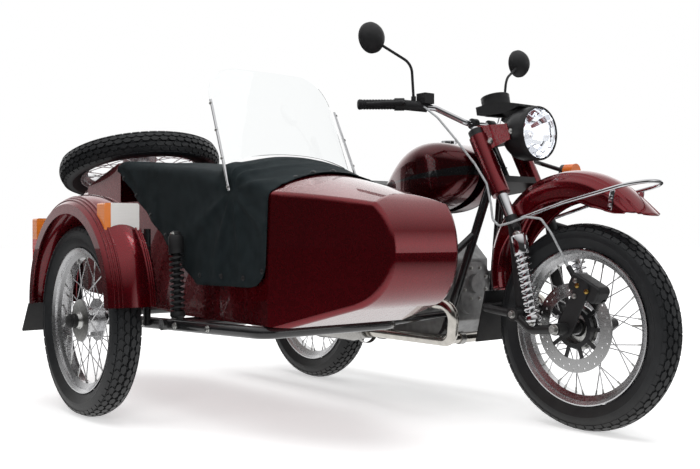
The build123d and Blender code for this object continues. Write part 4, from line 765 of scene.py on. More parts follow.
thick = front_sheet.modifiers.new("sheet", "SOLIDIFY")
thick.thickness = 0.0026
thick.offset = -1.0
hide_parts("front_guard")

# %% [markdown]
# The headlamp's solid is a plain bucket, so its inside is modelled here: an open shell, a dark rim, a
# stepped reflector with flat facets, a small bulb cap in the middle, and a thin domed lens in front that
# one can look through.

# %% headlamp
lamp_at = at(1302, 0, 1008)
forward = placed(lamp_at, (1, 0, 0))
bm = bmesh.new()
lathe(bm, ((0.0, -0.130), (0.020, -0.130), (0.046, -0.122), (0.070, -0.105), (0.086, -0.083),
           (0.0935, -0.060), (0.0950, -0.040), (0.0950, -0.004), (0.0925, -0.002), (0.0900, -0.030),
           (0.0, -0.108)), forward, steps=64)
bucket = piece("lamp_bucket", bm, lamp_black, "fork")
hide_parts("headlamp_shell")
bm = bmesh.new()
lathe(bm, ((0.0955, -0.012), (0.0955, 0.004), (0.0935, 0.009), (0.0895, 0.010), (0.0870, 0.006),
           (0.0870, -0.002), (0.0915, -0.012), (0.0955, -0.012)), forward, steps=64)
piece("lamp_rim", bm, matt_black, "fork")
bm = bmesh.new()
lathe(bm, ((0.0865, 0.002), (0.080, -0.014), (0.078, -0.013), (0.064, -0.037), (0.062, -0.035),
           (0.042, -0.057), (0.040, -0.055), (0.018, -0.066)), forward, steps=20)
piece("lamp_reflector", bm, reflector, "fork", sharp=5.0)
bm = bmesh.new()
lathe(bm, ((0.018, -0.068), (0.016, -0.046), (0.013, -0.034), (0.008, -0.028), (0.0, -0.026)), forward,
      steps=28)
piece("lamp_bulb_cap", bm, mirror_chrome, "fork")
bm = bmesh.new()
lathe(bm, ((0.0885, 0.0065), (0.0860, 0.0095), (0.072, 0.0135), (0.050, 0.0170), (0.026, 0.0190),
           (0.0, 0.0196), (0.0, 0.0170), (0.026, 0.0164), (0.050, 0.0144), (0.072, 0.0109),
           (0.0855, 0.0065), (0.0885, 0.0065)), forward, steps=64)
glass = piece("lamp_glass", bm, lamp_clear, "fork", sharp=60.0)
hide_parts("headlamp_lens")

# %% [markdown]
# The cockpit cover is one piece of proofed canvas, stretched over the rim from the nose deck to the trunk.
# A grid is laid over the same stations as the solid, its corners rounded, and then pushed by formula: folds
# fan out from the foot of the screen's strut, the hem ripples between its fasteners, and the top sags a
# little behind the screen.

# %% canvas cover
COVER_ROWS = ((1031, 788, 855), (775, 889, 929), (735, 868, 908), (-26, 942, 944), (-46, 942, 944))
RIGHT_HEM = ((-46, 905), (-8, 890), (240, 716), (590, 480), (935, 484), (975, 492), (1000, 508),
             (1016, 534), (1024, 566), (1031, 779))
COVER_RIGHT, COVER_LEFT, CORNER = -955.0, -415.0, 26.0
COVER_REAR, COVER_FRONT = -46.0, 1031.0
RIGHT_SHARE, LEFT_SHARE, CORNER_SHARE = 0.34, 0.14, 0.1
FLAT_LENGTH, FLAT_WIDTH = 1.08, 1.35
STRUT_X, STRUT_Z = 826, 796


def smooth_along(rows, x, column, reach=26.0):
    """The same value averaged over a short reach, so the cloth has no hard crease."""
    spots = [max(COVER_REAR, min(COVER_FRONT, x + reach * k)) for k in (-1.0, -0.5, 0.0, 0.5, 1.0)]
    return sum(between(rows, s, column) for s in spots) / len(spots)


def cover_point(u, v):
    """Place on the cover: u from rear to front, v from the right hem over the top to the left hem."""
    x = COVER_REAR + (COVER_FRONT - COVER_REAR) * u
    edge = smooth_along(COVER_ROWS, x, 1)
    crown = smooth_along(COVER_ROWS, x, 2)
    mid = (COVER_RIGHT + COVER_LEFT) / 2
    half = (COVER_LEFT - COVER_RIGHT) / 2
    hem_right = min(between(RIGHT_HEM, x, 1), edge - CORNER - 4)
    hem_left = min(742.0 if x < 1020 else 779.0, edge - CORNER - 4)
    if v < RIGHT_SHARE:
        share = v / RIGHT_SHARE
        return Vector((x, COVER_RIGHT, hem_right + share * (edge - CORNER - hem_right))), share
    if v > 1 - LEFT_SHARE:
        share = (1 - v) / LEFT_SHARE
        return Vector((x, COVER_LEFT, hem_left + share * (edge - CORNER - hem_left))), share
    w = (v - RIGHT_SHARE) / (1 - RIGHT_SHARE - LEFT_SHARE)
    if w < CORNER_SHARE:
        a = w / CORNER_SHARE * pi / 2
        return Vector((x, COVER_RIGHT + CORNER * (1 - cos(a)), edge - CORNER + CORNER * sin(a))), 1.0
    if w > 1 - CORNER_SHARE:
        a = (1 - w) / CORNER_SHARE * pi / 2
        return Vector((x, COVER_LEFT - CORNER * (1 - cos(a)), edge - CORNER + CORNER * sin(a))), 1.0
    s = (w - CORNER_SHARE) / (1 - 2 * CORNER_SHARE) * 2 - 1
    y = mid + s * (half - CORNER)
    return Vector((x, y, edge + (crown - edge) * (1 - s * s))), 1.0


def fold_height(p, share):
    """Outward push of the cloth in millimetres."""
    dx = p.x - STRUT_X
    dz = p.z - STRUT_Z
    reach = hypot(dx, dz)
    fan = atan2(dz, dx)
    radial = 19.0 * exp(-reach / 240) * max(0.0, sin(9.0 * fan + 0.6)) ** 1.5 * min(1.0, reach / 60)
    hem = 3.4 * (1 - share) ** 2 * (1 + sin(p.x / 19.0)) if share < 1 else 0.0
    rear = 7.0 * exp(-((p.x - 120) / 190) ** 2) * max(0.0, sin((p.x * 0.7 + p.z) / 24.0)) ** 1.5 * share
    sag = ridge = 0.0
    if share >= 1.0:
        ridge = 3.0 * exp(-((p.x - 690) / 60) ** 2) * sin(p.y / 21.0)
        if COVER_RIGHT + 40 < p.y < COVER_LEFT - 40:
            sag = -7.0 * exp(-((p.x - 420) / 210) ** 2)
    return radial * (1.0 if p.y < COVER_RIGHT + 60 else 0.3) + hem + rear + sag + ridge


print("cover from", COVER_REAR, "to", COVER_FRONT, "mm")

# %% [markdown]
# The sheet starts as a flat grid. Each of its points is carried to its place on the tub, keeps its flat
# place as UV, and is then pushed along its normal by the folds. A little smoothing takes the hard edges off
# them.

# %% cloth of the cover
bm = bmesh.new()
bmesh.ops.create_grid(bm, x_segments=96, y_segments=84, size=0.5, calc_uvs=True)
uv_layer = bm.loops.layers.uv.verify()
spread = {v: (v.co.x + 0.5, v.co.y + 0.5) for v in bm.verts}
shares = {}
for v, (u, w) in spread.items():
    spot, shares[v] = cover_point(u, w)
    v.co = at(*spot)
for face in bm.faces:
    for loop in face.loops:
        u, w = spread[loop.vert]
        loop[uv_layer].uv = (u * FLAT_LENGTH, w * FLAT_WIDTH)
bm.normal_update()
top_face = max(bm.faces, key=lambda f: f.calc_center_median().z)
if top_face.normal.z < 0:
    bmesh.ops.reverse_faces(bm, faces=bm.faces)
    bm.normal_update()
for v in list(bm.verts):
    p = Vector(((v.co.x - AXLE_X) * 1000, (v.co.y - BIKE_Y) * 1000, v.co.z * 1000))
    v.co += v.normal * fold_height(p, shares[v]) / 1000
for _ in range(2):
    bmesh.ops.smooth_vert(bm, verts=[v for v in bm.verts if not v.is_boundary], factor=0.35,
                          use_axis_x=True, use_axis_y=True, use_axis_z=True)
cover_area = sum(f.calc_area() for f in bm.faces)
cover_mesh = bpy.data.meshes.new("canvas_cover")
bm.to_mesh(cover_mesh)
bm.free()
print("cloth with", len(cover_mesh.polygons), "faces")

# %% [markdown]
# Proofed canvas is dark slate and dull, with threads that show close up. Its colour follows the slow tone,
# and its roughness and bump follow the threads. Solidify gives it the thickness of cloth.

# %% canvas finish
canvas, tree, shader = new_finish("proofed_canvas")
cloth = use_group(tree, "weave", {"Threads": 300.0})
tree.links.new(mix_colour(tree, fit_range(tree, cloth.outputs["Tone"], 0, 1), (0.0075, 0.0118, 0.0134),
                          (0.0140, 0.0205, 0.0230)),
               shader.inputs["Base Color"])
tree.links.new(fit_range(tree, cloth.outputs["Height"], 0.62, 0.78, 0.0, 1.0), shader.inputs["Roughness"])
relief = add_node(tree, "ShaderNodeBump", {"Strength": 0.45, "Distance": 0.0008})
tree.links.new(cloth.outputs["Height"], relief.inputs["Height"])
tree.links.new(relief.outputs["Normal"], shader.inputs["Normal"])
shader.inputs["Specular IOR Level"].default_value = 0.18
cover_mesh.materials.append(canvas)
for face in cover_mesh.polygons:
    face.use_smooth = True
cover = bpy.data.objects.new("canvas_cover", cover_mesh)
scene.collection.objects.link(cover)
thick = cover.modifiers.new("cloth", "SOLIDIFY")
thick.thickness = 0.0018
thick.offset = -1.0
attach(cover, "chassis")
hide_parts("tonneau")
print("cover of", round(cover_area, 3), "square metres")

# %% [markdown]
# The saddle is foam under vinyl. Its solid is only the room it takes, so a merged copy of it is remeshed
# evenly, blown up a little with the cloth solver so that the edges go soft, and then pressed in where the
# stitched channels run across. Gravity stays off and each point may move only a few millimetres, so the
# seat keeps its place on the frame.

# %% saddle
VOXEL, LAST_FRAME, MOST_PUSH = 0.006, 20, 0.006
CHANNEL_HALF, CHANNEL_DEPTH = 0.009, 0.005
bm = bmesh.new()
bm.from_mesh(nodes["saddle"].data)
bmesh.ops.transform(bm, matrix=nodes["saddle"].matrix_world, verts=bm.verts)
bmesh.ops.remove_doubles(bm, verts=bm.verts, dist=1e-5)
bmesh.ops.recalc_face_normals(bm, faces=bm.faces)
seat_mesh = bpy.data.meshes.new("saddle_foam")
bm.to_mesh(seat_mesh)
bm.free()
seat = bpy.data.objects.new("padded_saddle", seat_mesh)
scene.collection.objects.link(seat)
even = seat.modifiers.new("even", "REMESH")
even.mode = "VOXEL"
even.voxel_size = VOXEL
remeshed = bpy.data.meshes.new_from_object(seat.evaluated_get(bpy.context.evaluated_depsgraph_get()))
seat.modifiers.clear()
seat.data = remeshed
start = [v.co.copy() for v in remeshed.vertices]
held = seat.vertex_groups.new(name="base")
low = min(p.z for p in start)
held.add([i for i, p in enumerate(start) if p.z < low + 0.02], 1.0, "REPLACE")
swell = seat.modifiers.new("swell", "CLOTH")
swell.settings.vertex_group_mass = "base"
swell.settings.use_pressure = True
swell.settings.uniform_pressure_force = 4.0
swell.settings.effector_weights.gravity = 0.0
swell.point_cache.frame_start = 1
swell.point_cache.frame_end = LAST_FRAME
for number in range(1, LAST_FRAME + 1):
    scene.frame_set(number)
swollen = bpy.data.meshes.new_from_object(seat.evaluated_get(bpy.context.evaluated_depsgraph_get()))
seat.modifiers.clear()
scene.frame_set(1)
print("foam of", len(start), "points")

# %% [markdown]
# Each point takes the solver's push up to a few millimetres. The stitched channels are then pressed into
# the top at an even pitch, fading towards the sides.

# %% stitched channels
CHANNELS = [at(x, 0, 0).x for x in range(-150, 520, 62)]
bm = bmesh.new()
bm.from_mesh(remeshed)
bm.verts.ensure_lookup_table()
for i, v in enumerate(bm.verts):
    push = swollen.vertices[i].co - start[i]
    if push.length > MOST_PUSH:
        push = push * (MOST_PUSH / push.length)
    v.co = start[i] + push
for _ in range(4):
    bmesh.ops.smooth_vert(bm, verts=bm.verts, factor=0.5, use_axis_x=True, use_axis_y=True, use_axis_z=True)
bm.normal_update()
for v in bm.verts:
    if v.normal.z > 0.4:
        dip = max(exp(-((v.co.x - x) / CHANNEL_HALF) ** 2) for x in CHANNELS)
        edge = min(1.0, max(0.0, (0.115 - abs(v.co.y - BIKE_Y)) / 0.02))
        v.co.z -= CHANNEL_DEPTH * dip * edge
print("channels:", len(CHANNELS))

# %% [markdown]
# The vinyl is black with a slight sheen. Its pores are a fine Voronoi pattern in the bump.

# %% vinyl and saddle
vinyl, tree, shader = new_finish("seat_vinyl")
skin = use_group(tree, "grain", {"Scale": 55.0})
tree.links.new(mix_colour(tree, fit_range(tree, skin.outputs["Cloud"], 0, 1), (0.010, 0.010, 0.011),
                          (0.020, 0.020, 0.021)),
               shader.inputs["Base Color"])
tree.links.new(fit_range(tree, skin.outputs["Speck"], 0.38, 0.55), shader.inputs["Roughness"])
pores = add_node(tree, "ShaderNodeTexVoronoi", {"Scale": 420.0})
coords = add_node(tree, "ShaderNodeTexCoord")
relief = add_node(tree, "ShaderNodeBump", {"Strength": 0.4, "Distance": 0.0006})
tree.links.new(coords.outputs["Object"], pores.inputs["Vector"])
tree.links.new(pores.outputs["Distance"], relief.inputs["Height"])
tree.links.new(relief.outputs["Normal"], shader.inputs["Normal"])
bpy.data.objects.remove(seat)
saddle = piece("padded_saddle", bm, vinyl, "chassis", sharp=75.0)
finer = saddle.modifiers.new("finer", "SUBSURF")
finer.levels = finer.render_levels = 1
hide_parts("saddle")

# %% [markdown]
# Most fasteners sit on the skin of the solid they hold, where a ray from outside meets it, so none of these
# floats or sinks. The bolts through the spring eyes have fixed places.


# %% bolts and nuts
def skin_spot(name, point, toward):
    """Place where a line from outside meets a node, or nothing."""
    solid = nodes[name]
    back = solid.matrix_world.inverted()
    aim = Vector(toward).normalized()
    hit, spot, _, _ = solid.ray_cast(back @ (Vector(point) - aim * 0.5), back.to_3x3() @ aim)
    return solid.matrix_world @ spot if hit else None


bpy.context.view_layer.update()
BOLTS = []
for side in (1, -1):
    aim = (0, -side, 0)
    BOLTS += [("fork", "leading_link", (1318, side * 140, 382), aim, 0.019, 0.008),
              ("fork", "leading_link", (1500, side * 100, 345), aim, 0.024, 0.009)]
    for dx, dz in ((-42, -40), (42, -40), (-42, 40), (42, 40)):
        BOLTS.append(("chassis", "cylinders", (820 + dx, side * 372, 430 + dz), aim, 0.011, 0.005))
for k in range(8):
    BOLTS.append(("chassis", "engine_block",
                  (1010, 62 * cos(k * pi / 4 + 0.39), 470 + 62 * sin(k * pi / 4 + 0.39)), (-1, 0, 0), 0.010,
                  0.005))
for x, z in ((-30, 24), (-30, -26)):
    BOLTS.append(("fork", "front_caliper", (1568 + x, -100, 479 + z), (0, 1, 0), 0.012, 0.005))
for x in (300, 470, 620, 780):
    BOLTS.append(("chassis", "sidecar_chassis", (x, -1075, 345.7), (0, 1, 0), 0.015, 0.006))
by_body = {}
for body, name, point, aim, across, height in BOLTS:
    spot = skin_spot(name, at(*point), aim)
    if spot is None:
        print("no skin for a bolt on", name, point)
        continue
    bm = by_body.setdefault(body, bmesh.new())
    bolt(bm, placed(spot, -Vector(aim)), across, height)
for side in (1, -1):
    for x, z in ((1339, 651), (1405, 362)):
        bolt(by_body["fork"], placed(at(x, side * 160, z), (0, side, 0)), 0.017, 0.007)
    for x, z in ((62, 690), (30, 462)):
        bolt(by_body["chassis"], placed(at(x, side * 145, z), (0, side, 0)), 0.017, 0.007)
for z, x in ((650, 545), (366, 560)):
    bolt(by_body["chassis"], placed(at(x, -1025, z), (0, -1, 0)), 0.017, 0.007)
for body, bm in by_body.items():
    piece(body + "_bolts", bm, zinc, body)

# %% [markdown]
# The caliper's two pad pins are the one warm-coloured metal on the machine. Turned bosses sit on the lamp's
# ears, the sidecar's hub ends in a ribbed rubber boot, and the spare is held by a turned knob.

# %% caliper pins, ear bosses, hub boot and spare knob
bm = bmesh.new()
along_caliper = Vector((-0.891, 0, 0.454))
for step_out in (-0.020, 0.020):
    spot = skin_spot("front_caliper", at(1568, -100, 479) + along_caliper * step_out, (0, 1, 0))
    if spot is not None:
        lathe(bm, ((0.0, 0.004), (0.0035, 0.004), (0.0075, 0.003), (0.0085, 0.001), (0.0085, -0.002)),
              placed(spot, (0, -1, 0)), steps=20)
piece("pad_pins", bm, gold_pin, "fork")
bm = bmesh.new()
for side in (1, -1):
    ear = skin_spot("fork_covers", at(1169, side * 150, 984), (0, -side, 0))
    for spot, size in ((ear, 0.013), (at(1256, side * 94.6, 1012), 0.010)):
        lathe(bm, ((0.0, 0.006), (size * 0.45, 0.006), (size * 0.55, 0.004), (size * 0.8, 0.004),
                   (size, 0.002), (size, -0.003)),
              placed(spot, (0, side, 0)), steps=24)
piece("ear_bosses", bm, zinc, "fork")
bm = bmesh.new()
lathe(bm, ((0.0, 0.012), (0.012, 0.0115), (0.0185, 0.009), (0.0215, 0.005), (0.0215, 0.002), (0.0255, 0.0),
           (0.0255, -0.004), (0.0240, -0.006), (0.0240, -0.010), (0.0265, -0.012), (0.0265, -0.018),
           (0.0240, -0.020)),
      placed(at(225, -1262, 345), (0, -1, 0)), steps=36)
piece("hub_boot", bm, soft_rubber, "chassis")
bm = bmesh.new()
lathe(bm, ((0.0, 0.030), (0.008, 0.030), (0.0185, 0.026), (0.0215, 0.019), (0.0205, 0.012), (0.012, 0.006),
           (0.012, 0.0), (0.024, -0.002), (0.024, -0.005)), placed(spare_mid + LID_NORM * 0.055, LID_NORM),
      steps=24)
piece("spare_knob", bm, mirror_chrome, "lid")

# %% [markdown]
# Press fasteners hold the cover's hem. They are small turned caps set on the cloth just inside its edge.

# %% fasteners on the cover
TUB_MID = (COVER_RIGHT + COVER_LEFT) / 2


def along_cover(x):
    """Share of the cover's length at a place along the bike."""
    return (x - COVER_REAR) / (COVER_FRONT - COVER_REAR)


bm = bmesh.new()
fasteners = []
for x in (20, 130, 250, 370, 480, 620, 760, 900, 1004):
    spot, share = cover_point(along_cover(x), 0.030)
    fasteners.append((spot + Vector((0, -fold_height(spot, share), 0)), (0, -1, 0)))
for v in (0.405, 0.47, 0.53, 0.60, 0.66, 0.73, 0.79):
    spot, share = cover_point(along_cover(1012), v)
    fasteners.append((spot + Vector((0, 0, 0.5)), (0.28, 0.0022 * (spot.y - TUB_MID), 1)))
for spot, out in fasteners:
    lathe(bm, ((0.0, 0.0042), (0.004, 0.004), (0.0068, 0.0028), (0.0078, 0.0006), (0.0095, 0.0004),
               (0.0095, -0.0012)),
          placed(at(*spot), out), steps=18)
piece("press_fasteners", bm, lamp_black, "chassis")

# %% [markdown]
# Clamps, bands and brackets join the round things: bands on the silencers, nuts on the exhaust stubs,
# clamps at the crossover, the strap that carries the front guard's rail, and domed screws along the
# screen's side strips.

# %% clamps, bands and straps
STRAP_X, STRAP_Z, STRAP_LEAN = 1659, 762, 0.2
bm = bmesh.new()
for side in (1, -1):
    for x in (640, 210, -272):
        lathe(bm, ((0.0452, -0.011), (0.0468, -0.011), (0.0475, -0.008), (0.0468, -0.004), (0.0468, 0.004),
                   (0.0475, 0.008), (0.0468, 0.011), (0.0452, 0.011)),
              placed(at(x, side * 228, 276), (1, 0, 0)), steps=44)
    lathe(bm, ((0.0205, -0.014), (0.029, -0.014), (0.031, -0.010), (0.031, 0.010), (0.029, 0.014),
               (0.0205, 0.014)),
          placed(at(912, side * 270.5, 419), (243, side * -22, -15)), steps=28)
    lathe(bm, ((0.0195, -0.013), (0.0225, -0.013), (0.0235, -0.009), (0.0225, -0.003), (0.0225, 0.003),
               (0.0235, 0.009), (0.0225, 0.013), (0.0195, 0.013)),
          placed(at(1040, side * 120, 276), (0, 1, 0), (0, 0, 1)), steps=32)
piece("exhaust_bands", bm, silencer_steel, "chassis")
bm = bmesh.new()
for side in (1, -1):
    before = set(bm.verts)
    made = bmesh.ops.create_cube(bm, size=1.0)
    bmesh.ops.scale(bm, vec=(0.018, 0.003, 0.064), verts=made["verts"])
    rim = [e for e in bm.edges if all(v in made["verts"] for v in e.verts)]
    bmesh.ops.bevel(bm, geom=rim, offset=0.0012, segments=2, profile=0.5, affect="EDGES", material=-1)
    fresh = [v for v in bm.verts if v not in before]
    where = Matrix.Translation(at(STRAP_X, side * 80.5, STRAP_Z)) @ Matrix.Rotation(STRAP_LEAN, 4, "Y")
    bmesh.ops.transform(bm, matrix=where, verts=fresh)
    for z in (745, 771):
        spot = at(STRAP_X + (z - STRAP_Z) * STRAP_LEAN, side * 81.5, z)
        bolt(bm, placed(spot, (0, side, 0)), 0.009, 0.003)
piece("rail_straps", bm, mirror_chrome, "fork")
bm = bmesh.new()
for low, high in ((Vector((823, -966, 794)), Vector((676, -950, 1110))),
                  (Vector((823, -404, 794)), Vector((676, -420, 1110)))):
    out = (0, -1 if low.y < TUB_MID else 1, 0)
    for share in (0.04, 0.35, 0.66, 0.96):
        spot = low.lerp(high, share) + Vector((0, out[1] * 4.0, 0))
        lathe(bm, ((0.0, 0.0042), (0.0035, 0.0036), (0.0056, 0.0018), (0.006, -0.002)),
              placed(at(*spot), out), steps=16)
piece("screen_screws", bm, zinc, "chassis")

# %% [markdown]
# The dial under the cowl has a ring, a dark face, marks and a needle. The ring and face are turned; the
# marks are one small bar copied round by a spin that duplicates.

# %% dial
dial_foot, dial_top = at(1112, 0, 1100), at(1100, 0, 1156)
dial_up = (dial_top - dial_foot).normalized()
where = placed(dial_top, dial_up)
bm = bmesh.new()
lathe(bm, ((0.0525, -0.012), (0.0530, 0.002), (0.0515, 0.004), (0.0480, 0.004), (0.0465, 0.0005)), where,
      steps=48)
piece("dial_ring", bm, lamp_black, "fork")
bm = bmesh.new()
lathe(bm, ((0.0470, 0.0008), (0.0, 0.0010)), where, steps=48)
piece("dial_face", bm, dial_face, "fork")
bm = bmesh.new()
made = bmesh.ops.create_cube(bm, size=1.0)
bmesh.ops.scale(bm, vec=(0.0085, 0.0013, 0.0008), verts=made["verts"])
bmesh.ops.translate(bm, vec=(0.039, 0, 0.0014), verts=made["verts"])
bmesh.ops.spin(bm, geom=bm.verts[:] + bm.edges[:] + bm.faces[:], cent=(0, 0, 0), axis=(0, 0, 1),
               angle=radians(260), steps=20, use_duplicate=True)
needle = Matrix.Rotation(2.3, 4, "Z") @ Matrix.Translation((0.016, 0, 0.0024))
needle = needle @ Matrix.Rotation(pi / 2, 4, "Y")
bmesh.ops.create_cone(bm, cap_ends=True, segments=4, radius1=0.0022, radius2=0.0006, depth=0.036,
                      matrix=needle)
lathe(bm, ((0.0, 0.0042), (0.0042, 0.0036), (0.0050, 0.0010)), Matrix.Identity(4), steps=16)
bmesh.ops.transform(bm, matrix=where @ Matrix.Rotation(radians(140), 4, "Z"), verts=bm.verts)
piece("dial_marks", bm, zinc, "fork")

# %% [markdown]
# The mirrors' glass is silvered behind, so it is made as polished metal: a shallow dome in each housing.

# %% mirror glass
bm = bmesh.new()
for side in (1, -1):
    lathe(bm, ((0.0, 0.0022), (0.030, 0.0019), (0.0495, 0.0010), (0.0505, -0.0008)),
          placed(at(862, side * 400, 1362), (-1, 0, 0)), steps=40)
piece("mirror_panes", bm, mirror_glass, "fork")

# %% [markdown]
# The grips are moulded rubber with rings and a flange. Every ring is turned about the bar's own line. Caps
# close the fork tubes in the same way, set on the skin that a ray finds.

# %% grips and tube caps
GRIP_RINGS = 13
bm = bmesh.new()
for side in (1, -1):
    inner, outer = at(898, side * 292, 1128), at(812, side * 415, 1126)
    where = placed(inner, outer - inner)
    length = (outer - inner).length
    for k in range(GRIP_RINGS):
        h = 0.010 + k * (length - 0.022) / (GRIP_RINGS - 1)
        lathe(bm, ((0.0168, h - 0.0042), (0.0184, h - 0.0030), (0.0184, h + 0.0030), (0.0168, h + 0.0042)),
              where, steps=24)
    lathe(bm, ((0.0, length + 0.004), (0.010, length + 0.0035), (0.0165, length + 0.001),
               (0.0192, length - 0.004), (0.0192, length - 0.008), (0.0168, length - 0.009)), where,
          steps=24)
    lathe(bm, ((0.0168, 0.001), (0.0215, 0.001), (0.0225, -0.002), (0.0215, -0.005), (0.0168, -0.005)),
          where, steps=24)
piece("grip_rubbers", bm, soft_rubber, "fork")
bm = bmesh.new()
up_axis = Vector((-0.4695, 0, 0.8829))
for side in (1, -1):
    tube_top = at(1094.9, side * 100, 1030.3)
    spot = skin_spot("fork_tubes", tube_top, -up_axis)
    lathe(bm, ((0.0, 0.010), (0.009, 0.010), (0.0125, 0.009), (0.0135, 0.006), (0.0185, 0.005),
               (0.0195, 0.002), (0.0195, -0.002)),
          placed(tube_top if spot is None else spot, up_axis), steps=28)
piece("tube_caps", bm, mirror_chrome, "fork")

# %% [markdown]
# The studio floor is pale and takes a soft shadow. The camera sees it glow more with distance until it
# meets the white behind, so no horizon shows. Mirrors see it white close by and dark further off, which
# draws the pale reflection under the nose. Light Path tells these rays apart.

# %% floor
# strength near by and far off, and the distances between which one turns into the other
FLOOR_GLOW = (0.52, 1.0, 1.4, 4.0)
FLOOR_MIRRORED = (0.85, 0.03, 1.3, 2.8)


def stage_plane(name, half_x, half_y, where):
    bm = bmesh.new()
    bmesh.ops.create_grid(bm, x_segments=2, y_segments=2, size=1.0)
    bmesh.ops.scale(bm, vec=(half_x, half_y, 1.0), verts=bm.verts)
    bmesh.ops.transform(bm, matrix=where, verts=bm.verts)
    mesh = bpy.data.meshes.new(name)
    bm.to_mesh(mesh)
    bm.free()
    made = bpy.data.objects.new(name, mesh)
    scene.collection.objects.link(made)
    return made


floor = stage_plane("studio_floor", 40.0, 40.0, Matrix.Identity(4))
pale, tree, shader = new_finish("studio_floor")
shader.inputs["Base Color"].default_value = (0.92, 0.92, 0.92, 1.0)
shader.inputs["Roughness"].default_value = 0.6
shader.inputs["Specular IOR Level"].default_value = 0.0
shader.inputs["Emission Color"].default_value = (1.0, 1.0, 1.0, 1.0)
rays = add_node(tree, "ShaderNodeLightPath")
coords = add_node(tree, "ShaderNodeTexCoord")
reach = add_node(tree, "ShaderNodeVectorMath", operation="LENGTH")
tree.links.new(coords.outputs["Object"], reach.inputs[0])
glow = add_node(tree, "ShaderNodeMath", operation="MULTIPLY")
seen = add_node(tree, "ShaderNodeMath", operation="MAXIMUM")
tree.links.new(rays.outputs["Is Camera Ray"], seen.inputs[0])
tree.links.new(rays.outputs["Is Transmission Ray"], seen.inputs[1])
tree.links.new(seen.outputs[0], glow.inputs[0])
tree.links.new(fit_range(tree, reach.outputs["Value"], *FLOOR_GLOW), glow.inputs[1])
tree.links.new(glow.outputs[0], shader.inputs["Emission Strength"])
near = add_node(tree, "ShaderNodeEmission")
tree.links.new(fit_range(tree, reach.outputs["Value"], *FLOOR_MIRRORED), near.inputs["Strength"])
pick = add_node(tree, "ShaderNodeMixShader")
mirror_only = add_node(tree, "ShaderNodeMath", operation="SUBTRACT", use_clamp=True)
tree.links.new(rays.outputs["Is Glossy Ray"], mirror_only.inputs[0])
tree.links.new(rays.outputs["Is Transmission Ray"], mirror_only.inputs[1])
tree.links.new(mirror_only.outputs[0], pick.inputs[0])
tree.links.new(shader.outputs[0], pick.inputs[1])
tree.links.new(near.outputs[0], pick.inputs[2])
tree.links.new(pick.outputs[0], tree.nodes["Material Output"].inputs["Surface"])
floor.data.materials.append(pale)
print("floor ready")

# %% [markdown]
# The camera sees plain white all round. Mirrors see white above, a lit wall behind the machine, a soft box
# ahead, and dark towards the camera's side: polished and lacquered shapes need something dark to mirror, or
# their colour washes out. Both are one world, again told apart by the kind of ray.

# %% world
# low and high strength, and the height or closeness between which one turns into the other
SKY_MIRRORED = (0.03, 1.0, 0.30, 0.75)
WALL_MIRRORED = (0.03, 1.5, 0.20, 0.75)
BOX_MIRRORED = (0.05, 1.5, 0.84, 1.0)
WALL_WAY, BOX_WAY = (-0.778, 0.628, 0.0), (0.80, 0.60, 0.0)
world = bpy.data.worlds.new("studio")
scene.world = world
world.use_nodes = True
tree = world.node_tree
fill = tree.nodes["Background"]
fill.inputs["Color"].default_value = (1.0, 1.0, 1.0, 1.0)
fill.inputs["Strength"].default_value = 0.34
white = add_node(tree, "ShaderNodeBackground", {"Strength": 1.0})
white.inputs["Color"].default_value = (1.0, 1.0, 1.0, 1.0)
mirrored = add_node(tree, "ShaderNodeBackground")
rays = add_node(tree, "ShaderNodeLightPath")
aim = add_node(tree, "ShaderNodeTexCoord")
split = add_node(tree, "ShaderNodeSeparateXYZ")
tree.links.new(aim.outputs["Generated"], split.inputs["Vector"])
behind = add_node(tree, "ShaderNodeVectorMath", {1: WALL_WAY}, operation="DOT_PRODUCT")
tree.links.new(aim.outputs["Generated"], behind.inputs[0])
brightest = add_node(tree, "ShaderNodeMath", operation="MAXIMUM")
tree.links.new(fit_range(tree, split.outputs["Z"], *SKY_MIRRORED), brightest.inputs[0])
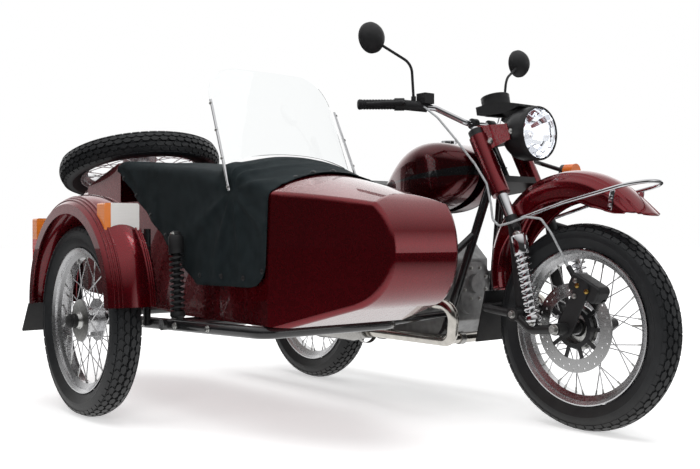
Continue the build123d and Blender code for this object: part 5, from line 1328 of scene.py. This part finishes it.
tree.links.new(fit_range(tree, behind.outputs["Value"], *WALL_MIRRORED), brightest.inputs[1])
ahead = add_node(tree, "ShaderNodeVectorMath", {1: BOX_WAY}, operation="DOT_PRODUCT")
tree.links.new(aim.outputs["Generated"], ahead.inputs[0])
soft_box = add_node(tree, "ShaderNodeMath", operation="MAXIMUM")
tree.links.new(brightest.outputs[0], soft_box.inputs[0])
tree.links.new(fit_range(tree, ahead.outputs["Value"], *BOX_MIRRORED), soft_box.inputs[1])
tree.links.new(soft_box.outputs[0], mirrored.inputs["Strength"])
seen = add_node(tree, "ShaderNodeMath", operation="MAXIMUM")
in_mirror = add_node(tree, "ShaderNodeMixShader")
in_view = add_node(tree, "ShaderNodeMixShader")
tree.links.new(rays.outputs["Is Glossy Ray"], in_mirror.inputs[0])
tree.links.new(fill.outputs[0], in_mirror.inputs[1])
tree.links.new(mirrored.outputs[0], in_mirror.inputs[2])
tree.links.new(rays.outputs["Is Camera Ray"], seen.inputs[0])
tree.links.new(rays.outputs["Is Transmission Ray"], seen.inputs[1])
tree.links.new(seen.outputs[0], in_view.inputs[0])
tree.links.new(in_mirror.outputs[0], in_view.inputs[1])
tree.links.new(white.outputs[0], in_view.inputs[2])
tree.links.new(in_view.outputs[0], tree.nodes["World Output"].inputs["Surface"])
print("world ready")

# %% [markdown]
# Two broad lamps make the soft shadow, one overhead and a weaker one beside the camera. They are kept out
# of mirrors, where their square shapes would show in the paint.

# %% lamps
LAMPS = (
    ("overhead", (0.3, -0.3, 4.2), (0.0, 0.0, 0.3), 4.5, 150.0),
    ("beside_camera", (4.2, -4.2, 2.6), (0.2, -0.2, 0.6), 2.4, 90.0),
)
for name, spot, target, size, power in LAMPS:
    lamp = bpy.data.lights.new(name, "AREA")
    lamp.size = size
    lamp.energy = power
    made = bpy.data.objects.new(name, lamp)
    scene.collection.objects.link(made)
    made.location = spot
    made.visible_glossy = False
    made.rotation_euler = (Vector(target) - Vector(spot)).to_track_quat("-Z", "Y").to_euler()
print("lamps:", len(LAMPS))
